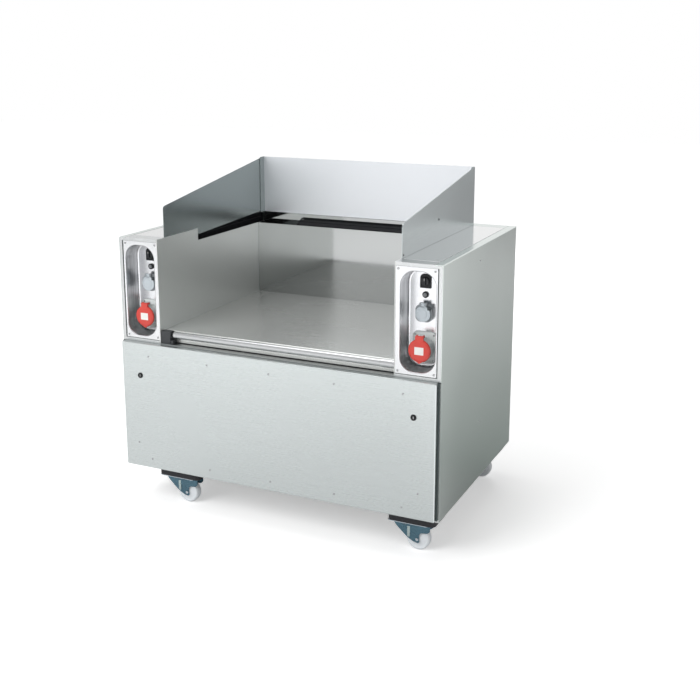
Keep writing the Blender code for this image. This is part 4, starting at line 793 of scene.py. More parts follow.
@dataclass
class Bay:
    """The open appliance bay: walls, floor, rear sheet, ledge, rail and suction filters."""

    wall: float = 0.410
    bend: float = 0.004
    ledge_bend: float = 0.003
    edge: float = 0.0004
    rail_radius: float = 0.011
    sleeve_wall: float = 0.0012
    block_low_part: float = 0.010
    block_step: float = 0.013
    block_collar: float = 0.0018
    slat_pitch: float = 0.008
    slat: float = 0.0016
    side_filter_gap: float = 0.0035
    side_mat_gap: float = 0.004
    side_filter_depth: float = 0.012
    side_filter_y: tuple[float, float] = (-0.1125, 0.3405)
    side_filter_z: tuple[float, float] = (0.8535, 0.8995)
    side_grille_depth: float = 0.0038
    side_bar: float = 0.002
    rear_filter_foot: Point = (0.0, 0.2990, 0.8610)
    rear_filter_lean: float = math.radians(25)
    rear_filter_depth: float = 0.044
    rear_filter_half: float = 0.249
    rear_bar: float = 0.0024

    def build(self) -> None:
        """Make the bay's sheets, the rail and the filters."""
        for label, side in SIDES:
            node = f"bay_wall_{label}"
            Blank().copied(node, self.edge).piece(f"bay_side_{label}", BAY_STEEL, node)
            self.bracket(label, side)
            self.side_filter(label, side)
        Blank().copied("bay_wall_rear", self.edge).piece(
            "bay_back", SHADED_BAY_REAR_STEEL, "bay_wall_rear")
        self.floor()
        self.ledge()
        self.rail()
        self.rear_filter()

    def floor(self) -> None:
        """The floor plate, folded down at the front."""
        low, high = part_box("bay_floor")
        line = ((low.y, low.z), (low.y, high.z), (high.y, high.z))
        blank = Blank().fold(line, Plane.YZ, (low.x, high.x), self.bend, (0, -1, 0))
        blank.piece("bay_deck", FLOOR_STEEL, "bay_floor")

    def ledge(self) -> None:
        """The ledge above the front panel with its rear fold."""
        low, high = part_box("front_ledge")
        line = ((low.y, high.z), (high.y, high.z), (high.y, low.z))
        blank = Blank().fold(line, Plane.YZ, (low.x, high.x), self.ledge_bend, (0, 0, 1))
        blank.piece("front_sill", SILL_STEEL, "front_ledge")

    def rail(self) -> None:
        """The round rail with eased ends."""
        low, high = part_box("front_rail")
        centre = (low + high) / 2
        blank = Blank().drum(centre, "X", self.rail_radius, high.x - low.x, 0.001, 56)
        blank.piece("round_rail", RAIL_STEEL, "front_rail")

    def bracket(self, label: str, side: float) -> None:
        """What holds the rail's end: a dark stepped block on the left, a steel sleeve right."""
        node = f"rail_bracket_{label}"
        low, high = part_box(node)
        rail = middle("front_rail")
        if side > 0:
            blank = Blank().drum(((low.x + high.x) / 2, rail.y, rail.z), "X",
                                 self.rail_radius + self.sleeve_wall, high.x - low.x, 0.0008, 56)
            blank.piece(f"rail_sleeve_{label}", RAIL_STEEL, node)
            return
        upper_end = high.x - self.block_low_part
        blank = Blank().box((low.x, low.y, low.z), (upper_end, high.y, high.z), 0.0016)
        blank.box((upper_end - 0.0015, low.y + 0.002, low.z),
                  (high.x, high.y, low.z + self.block_step), 0.0012)
        blank.drum((upper_end + 0.0008, rail.y, rail.z), "X", self.rail_radius + self.block_collar,
                   0.0030, 0.0005)
        blank.piece(f"rail_block_{label}", BRACKET_BLACK, node)

    def _grille(self, low: Vector, high: Vector, along: int) -> Blank:
        """A row of slats.

        Args:
            low: Lowest corner.
            high: Highest corner.
            along: The axis along which the slats repeat.

        Returns:
            The blank with the slats.
        """
        blank = Blank()
        count = max(3, int((high[along] - low[along]) / self.slat_pitch))
        pitch = (high[along] - low[along]) / count
        for k in range(1, count):
            near, far = Vector(low), Vector(high)
            near[along] = low[along] + k * pitch - self.slat / 2
            far[along] = near[along] + self.slat
            blank.box(near, far)
        return blank

    def side_filter(self, label: str, side: float) -> None:
        """The black filter behind a side slot: a fleece mat behind a slatted grille."""
        out = self.wall + self.side_filter_gap
        (front, rear), (bottom, top) = self.side_filter_y, self.side_filter_z
        near, far = side_span(side, out + self.side_mat_gap, out + self.side_filter_depth)
        mat = Blank().box((near, front, bottom), (far, rear, top), 0.001)
        mat.piece(f"side_fleece_{label}", CARBON_FLEECE)
        near, far = side_span(side, out, out + self.side_grille_depth)
        grille = self._grille(Vector((near, front, bottom)), Vector((far, rear, top)), 1)
        for z in (bottom, (bottom + top) / 2, top - self.side_bar):
            grille.box((near, front, z), (far, rear, z + self.side_bar))
        grille.piece(f"side_grille_{label}", GRILLE_BLACK)

    def rear_filter(self) -> None:
        """The black filter that leans back in the opening of the duct shelf."""
        lean = (Matrix.Translation(self.rear_filter_foot)
                @ Matrix.Rotation(self.rear_filter_lean, 4, "X"))
        depth, half, bar = self.rear_filter_depth, self.rear_filter_half, self.rear_bar
        mat = Blank().box((-half, 0.001, -0.0085), (half, depth - 0.006, -0.0014), 0.001)
        grille = self._grille(Vector((-half, 0.0, -0.0010)), Vector((half, depth, 0.0012)), 0)
        for y in (0.0, (depth - bar) / 2, depth - bar):
            grille.box((-half, y, -0.0010), (half, y + bar, 0.0014))
        for x in (-half, -bar / 2, half - bar):
            grille.box((x, 0.0, -0.0012), (x + bar, depth, 0.0016))
        for blank in (mat, grille):
            bmesh.ops.transform(blank.bm, matrix=lean, verts=blank.bm.verts)
        mat.piece("rear_fleece", CARBON_FLEECE)
        grille.piece("rear_grille", GRILLE_BLACK)


@dataclass
class SplashGuard:
    """The three sheets that stand round the bay above the counter."""

    front: float = -0.30865
    rear: float = 0.34635
    slot_front: float = -0.11625
    slot_rear: float = 0.3410
    slot_drop: float = 0.0215
    base: float = 0.9003
    tab: float = 0.035
    low_tab: float = 0.825
    front_height: float = 1.000
    rear_height: float = 1.100
    near: float = 0.4103
    front_corner: float = 0.010
    bend: float = 0.003
    hem_depth: float = 0.0022
    hem_height: float = 0.0052
    screw: tuple[float, float] = (-0.00465, 0.9695)
    foot_screw: tuple[float, float] = (-0.2985, 0.9085)
    # The left wing and its return get the darker copy of the guard steel: painted shade.
    wing_steel_with_painted_shade: dict[str, Finish] = field(
        default_factory=lambda: {"left": SHADED_LEFT_GUARD_STEEL, "right": GUARD_STEEL})

    def build(self) -> None:
        """Make both wings and the rear sheet."""
        for label, side in SIDES:
            self.wing(label, side)
        self.rear_sheet()

    def wing(self, label: str, side: float) -> None:
        """A sloped wing, rounded at its front corner, with its tabs and screws."""
        outline = ((self.front, self.base - self.tab), (self.slot_front, self.base - self.tab),
                   (self.slot_front, self.base - self.slot_drop), (self.slot_rear, self.base),
                   (self.slot_rear, self.low_tab), (self.rear, self.low_tab),
                   (self.rear, self.rear_height), (self.front, self.front_height))
        corners = (0.001, 0.001, 0.0, 0.0, 0.001, 0.001, 0.002, self.front_corner)
        node = f"guard_wing_{label}"
        blank = Blank().plate(outline, Plane.YZ, side_span(side, self.near, self.near + SHEET),
                              corners, 0.0003)
        blank.piece(f"guard_side_{label}", self.wing_steel_with_painted_shade[label], node)
        face = side * (self.near + SHEET)
        outward = "X" if side > 0 else "-X"
        heads = Blank().screw((face, *self.screw), outward)
        heads.piece(f"guard_side_screw_{label}", HINGE_DARK)
        foot = Blank().screw((face, *self.foot_screw), outward, 0.003, 0.0012)
        foot.piece(f"guard_foot_screw_{label}", LOCK_BLACK, slot=Slot.BLACK_PLASTIC)

    def rear_sheet(self) -> None:
        """The rear sheet with a hemmed lower edge, and its two returns."""
        low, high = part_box("guard_rear")
        line = ((low.x + SHEET, high.y), (high.x - SHEET, high.y))
        blank = Blank().fold(line, Plane.XY, (low.z, high.z), self.bend, (0, -1, 0))
        bmesh.ops.translate(blank.bm, vec=(0, -SHEET, 0), verts=blank.bm.verts)
        blank.box((low.x + SHEET, high.y - SHEET - self.hem_depth, low.z),
                  (high.x - SHEET, high.y - SHEET, low.z + self.hem_height), 0.0008)
        blank.piece("guard_back", REAR_GUARD_STEEL, "guard_rear")
        for label, side in SIDES:
            near, far = side_span(side, high.x - SHEET, high.x)
            fold = Blank().box((near, low.y, low.z), (far, high.y, high.z), 0.0004)
            fold.piece(f"guard_return_{label}", self.wing_steel_with_painted_shade[label])


# ================================================================ consoles
@dataclass
class Console:
    """One outlet console: a deep-drawn plate, a switch, a button and two outlets."""

    label: str
    side: float
    middle_x: float = 0.479
    face: float = -0.35265
    recess_back: float = -0.28895
    recess_z: float = 0.7265
    recess_width: float = 0.110
    recess_height: float = 0.298
    recess_radius: float = 0.045
    recess_depth: float = 0.064
    rim: float = 0.0035
    floor_radius: float = 0.006
    taper: float = 0.002
    sheet: float = 0.0015
    screw_inset: float = 0.008
    seam_shade_depth: float = 0.0012
    grip_half: float = 0.0032
    mark_half: float = 0.0006
    button_bore: float = 0.0058
    small_z: float = 0.743
    small_half: float = 0.026
    small_corner: float = 0.017
    small_well: float = 0.0195
    small_well_depth: float = 0.0125
    small_ear_reach: float = 0.006
    small_ears: tuple[float, float] = (0.0059, 0.011)
    small_contact_gap: float = 0.0095
    small_ear_low: float = 0.7655
    small_lid_place: tuple[float, float] = (-0.001, -0.0012)
    small_lid_back: float = -0.30525
    small_lid_radius: float = 0.0238
    small_lid_thickness: float = 0.004
    small_hinge: tuple[float, float] = (-0.30795, 0.7724)
    big_z: float = 0.638
    flange_half: tuple[float, float] = (0.037, 0.047)
    flange_depth: float = 0.005
    flange_screws: tuple[float, float] = (0.029, 0.0385)
    barrel_front: float = -0.32995
    barrel_radius: float = 0.0315
    barrel_bore: float = 0.0265
    core_radius: float = 0.0215
    pin_circle: float = 0.0140
    big_ears: tuple[float, float] = (0.0011, 0.0069)
    big_ear_front: float = -0.3297
    big_ear_top: float = 0.6826
    big_lid_back: float = -0.33025
    big_lid_face: float = -0.33825
    big_lid_radius: float = 0.0345
    big_lid_ears: tuple[float, float] = (0.0074, 0.0130)
    big_lid_ear_low: float = 0.6762
    neck_half: float = 0.013
    nose_half: float = 0.015
    label_half: tuple[float, float] = (0.0140, 0.0115)

    @property
    def x(self) -> float:
        """The middle of the recess."""
        return self.side * self.middle_x

    def build(self) -> None:
        """Make the plate, the switch, the button and both outlets."""
        self.plate()
        self.switch()
        self.button()
        self.small_outlet()
        self.small_lid()
        self.big_outlet()
        self.big_lid()

    def _mouth(self, blank: Blank) -> bmesh.types.BMFace:
        """The flat outline of the recess's mouth, with its four rounded corners."""
        mouth = rectangle_round((self.x, self.recess_z), self.recess_width / 2 + self.rim,
                                self.recess_height / 2 + self.rim)
        return blank.outline_face([(x, self.face, z) for x, z in mouth],
                                  [self.recess_radius + self.rim] * 4, 14)

    def _sheet(self, blank: Blank) -> None:
        """Turn a blank's faces to the front and give them the plate's thickness."""
        bm = blank.bm
        bmesh.ops.recalc_face_normals(bm, faces=bm.faces)
        bm.normal_update()
        front = max(bm.faces, key=lambda face: face.calc_area() * abs(face.normal.y))
        if front.normal.y > 0:
            bmesh.ops.reverse_faces(bm, faces=bm.faces)
            bm.normal_update()
        bmesh.ops.solidify(bm, geom=bm.faces[:], thickness=self.sheet)

    def plate(self) -> None:
        """The flat plate and the drawn well with its rounded rim and rounded bottom."""
        node = f"console_{self.label}"
        low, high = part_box(node)
        blank = Blank()
        face = self._mouth(blank)
        rim_edges = list(face.edges)
        bmesh.ops.delete(blank.bm, geom=[face], context="FACES_ONLY")
        outer = [blank.bm.verts.new((x, self.face, z))
                 for x, z in rectangle((low.x, low.z), (high.x, high.z))]
        outer_edges = [blank.bm.edges.new(pair) for pair in zip(outer, outer[1:] + outer[:1])]
        bmesh.ops.triangle_fill(blank.bm, edges=rim_edges + outer_edges, use_beauty=True)
        self._sheet(blank)
        blank.piece(f"console_plate_{self.label}", CONSOLE_STEEL, node)
        well = Blank()
        well.sink(self._mouth(well), self._draw_steps(), True)
        self._sheet(well)
        well.piece(f"console_well_{self.label}", SHADED_WELL_STEEL)
        # Dark strips along the plate's outer side and under it, in the seam with the frame:
        # painted shade.
        seam = Blank()
        front = FRONT_FACE - 0.0001
        back = front + self.seam_shade_depth
        bottom = low.z - 0.0014
        edge = max(abs(low.x), abs(high.x))
        near, far = side_span(self.side, edge + 0.0001, edge + 0.0016)
        seam.box((near, front, bottom), (far, back, high.z), 0.0002, 1)
        seam.box((low.x, front, bottom), (high.x, back, low.z - 0.0002), 0.0002, 1)
        seam.piece(f"console_seam_shade_{self.label}", SEAM_SHADE_DARK)
        heads = Blank()
        for x in (low.x + self.screw_inset, high.x - self.screw_inset):
            for z in (low.z + self.screw_inset, high.z - self.screw_inset):
                heads.screw((x, self.face, z), "-Y")
        heads.piece(f"console_screws_{self.label}", SCREW_STEEL)

    def _draw_steps(self) -> list[tuple[float, float]]:
        """How far the drawn wall moves in and back at each step, from the rim to the bottom."""
        steps = []
        arc = 5
        for k in range(arc):
            first, second = (math.pi / 2 * j / arc for j in (k, k + 1))
            steps.append((self.rim * (math.sin(second) - math.sin(first)),
                          self.rim * (math.cos(first) - math.cos(second))))
        wall = self.recess_depth - self.rim - self.floor_radius
        steps.append((self.taper, wall))
        for k in range(arc):
            first, second = (math.pi / 2 * j / arc for j in (k, k + 1))
            steps.append((self.floor_radius * (math.cos(first) - math.cos(second)),
                          self.floor_radius * (math.sin(second) - math.sin(first))))
        return steps

    def switch(self) -> None:
        """The arched plate with its raised rim, and the turning knob."""
        node = f"switch_plate_{self.label}"
        low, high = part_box(node)
        radius = (high.x - low.x) / 2
        corners = (0.002, 0.002, radius * 0.72, radius * 0.72)
        blank = Blank().plate(rectangle((low.x, low.z), (high.x, high.z)), Plane.XZ,
                              (low.y, high.y), corners, 0.0010, 10)
        blank.piece(f"switch_cover_{self.label}", SWITCH_BLACK, node)
        knob = f"switch_knob_{self.label}"
        seat = middle(knob)
        low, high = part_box(knob)
        depth = high.y - low.y
        skirt = (high.x - low.x) / 2
        profile = ((0.0, 0.0), (skirt, 0.0), (skirt, depth * 0.30), (skirt * 0.94, depth * 0.44),
                   (skirt * 0.82, depth * 0.50), (0.0, depth * 0.52))
        blank = Blank().turned(profile, (seat.x, high.y, seat.z), "-Y", 40)
        blank.box((seat.x - self.grip_half, low.y, seat.z - skirt * 0.86),
                  (seat.x + self.grip_half, low.y + depth * 0.75, seat.z + skirt * 0.86), 0.0012)
        blank.piece(f"switch_grip_{self.label}", KNOB_BLACK, knob, body=knob)
        mark = Blank().box(
            (seat.x - self.mark_half, low.y - 0.0001, seat.z + skirt * 0.30),
            (seat.x + self.mark_half, low.y + 0.0006, seat.z + skirt * 0.78), 0.0001, 1)
        mark.piece(f"switch_mark_{self.label}", LABEL_WHITE, body=knob)

    def button(self) -> None:
        """The button's collar with a rounded rim, and its domed cap."""
        node = f"button_collar_{self.label}"
        low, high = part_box(node)
        seat = (low + high) / 2
        outer, depth = (high.x - low.x) / 2, high.y - low.y
        bore = self.button_bore
        profile = ((bore, 0.0), (outer, 0.0), (outer, depth * 0.7), (outer * 0.94, depth * 0.92),
                   (outer * 0.84, depth), (bore + 0.0006, depth), (bore, depth * 0.9))
        blank = Blank().turned(profile, (seat.x, high.y, seat.z), "-Y", 40, closed=True)
        blank.piece(f"button_ring_{self.label}", SWITCH_BLACK, node)
        cap = f"reset_button_{self.label}"
        low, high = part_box(cap)
        radius, depth = (high.x - low.x) / 2, high.y - low.y
        profile = ((0.0, 0.0), (radius, 0.0), (radius, depth * 0.86), (radius * 0.9, depth * 0.95),
                   (radius * 0.6, depth * 0.99), (0.0, depth))
        blank = Blank().turned(profile, (seat.x, high.y, seat.z), "-Y", 32)
        blank.piece(f"reset_cap_{self.label}", BUTTON_GREY, cap, body=cap)

    def small_outlet(self) -> None:
        """The domestic outlet: a rounded base with a well, contacts and hinge ears."""
        node = f"small_socket_{self.label}"
        low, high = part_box(node)
        x, z = self.x, self.small_z
        front = low.y + self.small_ear_reach
        blank = Blank()
        bm = blank.bm
        outline = rectangle_round((x, z), self.small_half, self.small_half)
        face = blank.outline_face([(a, high.y, b) for a, b in outline],
                                  [self.small_corner] * 4, 10)
        drawn = bmesh.ops.extrude_face_region(bm, geom=[face], use_keep_orig=True)["geom"]
        face = next(item for item in drawn if isinstance(item, bmesh.types.BMFace))
        bmesh.ops.translate(bm, vec=(0, front - high.y + 0.0012, 0), verts=face.verts)
        blank.sink(face, ((0.0004, -0.0008), (0.0008, -0.0004)))
        hole = bmesh.ops.create_circle(bm, segments=40, radius=self.small_well, cap_ends=True,
                                       matrix=Matrix.Translation((x, front, z)) @ AXIS_TURN["Y"])
        plug = hole["verts"][0].link_faces[0]
        ring = list(plug.edges)
        edges = list(face.edges)
        bmesh.ops.delete(bm, geom=[face], context="FACES_ONLY")
        bmesh.ops.triangle_fill(bm, edges=ring + edges, use_beauty=True)
        blank.sink(plug, ((0.0003, 0.0012), (0.0003, 0.0105), (0.0010, 0.0008)))
        bmesh.ops.recalc_face_normals(bm, faces=bm.faces)
        floor = front + self.small_well_depth
        for shift in (-1, 1):
            blank.drum((x + shift * self.small_contact_gap, floor - 0.0002, z), "Y", 0.0026,
                       0.0010, 0.0002, 20)
            ear = side_span(shift, *self.small_ears)
            blank.box((x + ear[0], low.y, self.small_ear_low),
                      (x + ear[1], front + 0.004, high.z), 0.0008)
        blank.piece(f"outlet_base_{self.label}", OUTLET_GREY, node)

    def small_lid(self) -> None:
        """The outlet's round lid: a domed disc with a raised rim, a strap and a barrel."""
        node = f"small_lid_{self.label}"
        x, z = self.x + self.small_lid_place[0], self.small_z + self.small_lid_place[1]
        back, thick, rim = self.small_lid_back, self.small_lid_thickness, self.small_lid_radius
        hinge_y, hinge_z = self.small_hinge
        profile = ((0.0, 0.0), (rim - 0.0006, 0.0), (rim, 0.0006), (rim, thick - 0.0012),
                   (rim - 0.0012, thick), (rim - 0.0034, thick), (rim - 0.0044, thick - 0.0011),
                   (0.0130, thick - 0.0011), (0.0121, thick - 0.0003), (0.0108, thick - 0.0001),
                   (0.0, thick))
        blank = Blank().turned(profile, (x, back, z), "-Y", 56)
        blank.box((x - 0.0054, back - thick, z + 0.0150), (x + 0.0054, back, hinge_z), 0.0008)
        blank.drum((x, hinge_y, hinge_z), "X", 0.0027, 0.0108, 0.0004, 24)
        blank.piece(f"outlet_lid_{self.label}", LID_GREY, node, body=node)
        catch = Blank().box((x + 0.0135, back - thick - 0.0004, z + 0.0125),
                            (x + 0.0235, back - 0.0004, z + 0.0245), 0.0010)
        catch.piece(f"outlet_catch_{self.label}", HINGE_DARK, body=node)

    def big_outlet(self) -> None:
        """The industrial outlet: flange with four screws, barrel, pins and hinge ears."""
        x, z = self.x, self.big_z
        back = self.recess_back
        flange_face = back - self.flange_depth
        mouth = self.barrel_front
        blank = Blank().plate(rectangle_round((x, z), *self.flange_half), Plane.XZ,
                              (flange_face, back), (0.014,), 0.0011, 8)
        length = flange_face - mouth
        outer, bore = self.barrel_radius, self.barrel_bore
        profile = ((bore, 0.0005), (outer + 0.0022, 0.0005), (outer + 0.0018, 0.004),
                   (outer, 0.007), (outer, length - 0.0012), (outer - 0.0010, length),
                   (bore + 0.0008, length), (bore, length - 0.0008))
        blank.turned(profile, (x, flange_face, z), "-Y", 56, closed=True)
        blank.drum((x, (flange_face + mouth + 0.010) / 2, z), "Y", self.core_radius,
                   length - 0.011, 0.0008, 44)
        for shift in (-1, 1):
            ear = side_span(shift, *self.big_ears)
            blank.box((x + ear[0], self.big_ear_front, z + 0.0245),
                      (x + ear[1], mouth + 0.020, self.big_ear_top), 0.0008)
        blank.piece(f"power_outlet_{self.label}", FLANGE_PALE, f"big_socket_{self.label}")
        self._contacts(mouth + 0.0098)
        heads = Blank()
        across, up = self.flange_screws
        for head_x in (x - across, x + across):
            for head_z in (z - up, z + up):
                heads.screw((head_x, flange_face, head_z), "-Y", 0.0034, 0.0016)
        heads.piece(f"power_outlet_screws_{self.label}", SCREW_STEEL)

    def _contacts(self, front: float) -> None:
        """The five contact holes of the industrial outlet.

        Args:
            front: Where the outlet's core ends.
        """
        holes = Blank()
        profile = ((0.0, 0.0001), (0.0021, 0.0001), (0.0024, 0.0006), (0.0033, 0.0006),
                   (0.0035, 0.0002), (0.0035, -0.0002), (0.0, -0.0002))
        for k in range(5):
            angle = -math.pi / 2 + 2 * math.pi * k / 5
            place = (self.x + self.pin_circle * math.cos(angle), front,
                     self.big_z + self.pin_circle * math.sin(angle))
            holes.turned(profile, place, "-Y", 20)
        holes.piece(f"power_contacts_{self.label}", HINGE_DARK)

    def big_lid(self) -> None:
        """The red lid: a round cap with a neck above, a nose below and a blank label."""
        node = f"big_lid_{self.label}"
        low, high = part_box(node)
        x, z = self.x, self.big_z
        back, face, rim = self.big_lid_back, self.big_lid_face, self.big_lid_radius
        thick = back - face
        profile = ((0.0, 0.0), (rim - 0.0008, 0.0), (rim, 0.0008), (rim, thick * 0.55),
                   (rim - 0.0010, thick * 0.74), (rim - 0.0030, thick * 0.86),
                   (rim - 0.0052, thick * 0.90), (rim - 0.0060, thick * 0.98), (0.0, thick))
        blank = Blank().turned(profile, (x, back, z), "-Y", 72)
        neck = rectangle((x - self.neck_half, z + 0.020), (x + self.neck_half, high.z))
        blank.plate(neck, Plane.XZ, (face + 0.0006, back), (0, 0, 0.003, 0.003), 0.0012, 5)
        nose = ((x - self.nose_half, z - 0.0290), (x, low.z), (x + self.nose_half, z - 0.0290),
                (x, z - 0.0200))
        blank.plate(nose, Plane.XZ, (face + 0.0016, back), (0, 0.0030, 0, 0), 0.0010, 5)
        for shift in (-1, 1):
            ear = side_span(shift, *self.big_lid_ears)
            blank.box((x + ear[0], back - 0.002, self.big_lid_ear_low),
                      (x + ear[1], high.y, high.z), 0.0010)
        blank.piece(f"power_lid_{self.label}", LID_RED, node, body=node)
        label = Blank().plate(rectangle_round((x, z), *self.label_half), Plane.XZ,
                              (face - 0.0003, face + 0.0002), (0.0012,), 0.0, 3)
        label.piece(f"power_lid_label_{self.label}", LABEL_WHITE, body=node)


# ================================================================ front panel
@dataclass
class FrontPanel:
    """The lift-off front panel with its screws and quarter-turn locks."""

    half: float = 0.5475
    face: float = -0.37365
    low: float = 0.130
    high: float = 0.5567
    bend: float = 0.0028
    sheet: float = 0.002
    seal: float = 0.0075
    side_shade_edge: float = 0.5525
    side_shade_lap: float = 0.006
    side_shade_clear: float = 0.001
    columns: tuple[float, ...] = (-0.445, -0.2225, 0.0, 0.2225, 0.445)
    rows: tuple[float, ...] = (0.1615, 0.5145)
    extra: tuple[float, float] = (0.4955, 0.213)
    lock: tuple[float, float] = (0.479, 0.4475)
    lock_radius: float = 0.0095
    lock_shaft: float = 0.0058
    screw_radius: float = 0.0036
    screw_rise: float = 0.0013

    def build(self) -> None:
        """Make the tray, its screws and both locks."""
        self.tray()
        self.screws()
        for label, side in SIDES:
            self.quarter_turn(label, side)

    def tray(self) -> None:
        """The panel: a shallow tray with bent edges, open at the back."""
        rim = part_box("front_panel")[1].y
        back = rim - self.seal
        blank = Blank()
        bm = blank.bm
        blank.box((-self.half, self.face, self.low), (self.half, back, self.high))
        bm.normal_update()
        behind = [item for item in bm.faces if item.normal.y > 0.5]
        bmesh.ops.delete(bm, geom=behind, context="FACES")
        folds = [edge for edge in bm.edges if len(edge.link_faces) == 2]
        bmesh.ops.bevel(bm, geom=folds, offset=self.bend, offset_type="OFFSET", segments=4,
                        profile=0.5, affect="EDGES", material=-1)
        bm.normal_update()
        bmesh.ops.solidify(bm, geom=bm.faces[:], thickness=self.sheet)
        for low, high in ((self.low, self.low + self.sheet), (self.high - self.sheet, self.high)):
            blank.box((-self.half + self.bend, back, low), (self.half - self.bend, rim, high))
        blank.piece("front_door_tray", PANEL_STEEL, "front_panel", body="front_panel")
        # A dark strip at each side of the panel, over the band between its flange and the skin:
        # painted shade.
        seal = Blank()
        for _, side in SIDES:
            near, far = side_span(side, self.half - self.sheet - self.side_shade_lap, self.side_shade_edge)
            seal.box((near, back + 0.0005, self.low + self.side_shade_clear),
                     (far, rim, self.high - self.side_shade_clear), 0.0008)
        seal.piece("front_door_side_shade", SEAM_SHADE_DARK, body="front_panel")

    def screws(self) -> None:
        """The screw heads on the panel's face."""
        heads = Blank()
        places = [(x, z) for x in self.columns for z in self.rows]
        places += [(side * self.extra[0], self.extra[1]) for _, side in SIDES]
        for x, z in places:
            heads.screw((x, self.face, z), "-Y", self.screw_radius, self.screw_rise)
        heads.piece("front_door_screws", SCREW_STEEL, body="front_panel")

    def quarter_turn(self, label: str, side: float) -> None:
        """One lock: a round head with a key recess, its shaft and its cam."""
        node = f"panel_lock_{label}"
        low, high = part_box(node)
        x, z = side * self.lock[0], self.lock[1]
        rim = self.lock_radius
        depth = self.face - low.y
        profile = ((0.0, depth * 0.30), (0.0042, depth * 0.30), (0.0046, depth * 0.82),
                   (0.0060, depth * 0.98), (rim - 0.0016, depth * 0.90),
                   (rim - 0.0004, depth * 0.55), (rim, 0.0004), (0.0, 0.0004))
        blank = Blank().turned(profile, (x, self.face, z), "-Y", 40)
        blank.drum((x, (self.face + high.y) / 2, z), "Y", self.lock_shaft,
                   high.y - self.face - 0.001, 0.0004)
        blank.box((x - 0.006, high.y - 0.002, low.z), (x + 0.006, high.y, z + 0.006), 0.0006)
        blank.piece(f"quarter_turn_{label}", LOCK_BLACK, node, body=node)
        key = Blank().box((x - 0.0011, low.y + depth * 0.25, z - 0.0040),
                          (x + 0.0011, self.face - depth * 0.22, z + 0.0040), 0.0003)
        key.piece(f"quarter_turn_key_{label}", SCREW_STEEL, body=node)


# ================================================================ casters
@dataclass(frozen=True)
class Pin:
    """An upright pin, bolt head, nut or washer."""

    middle: float
    radius: float
    length: float
    ease: float
    sides: int

    def add(self, blank: Blank, x: float, y: float) -> None:
        """Add the pin to a blank at a place."""
        blank.drum((x, y, self.middle), "Z", self.radius, self.length, self.ease, self.sides)


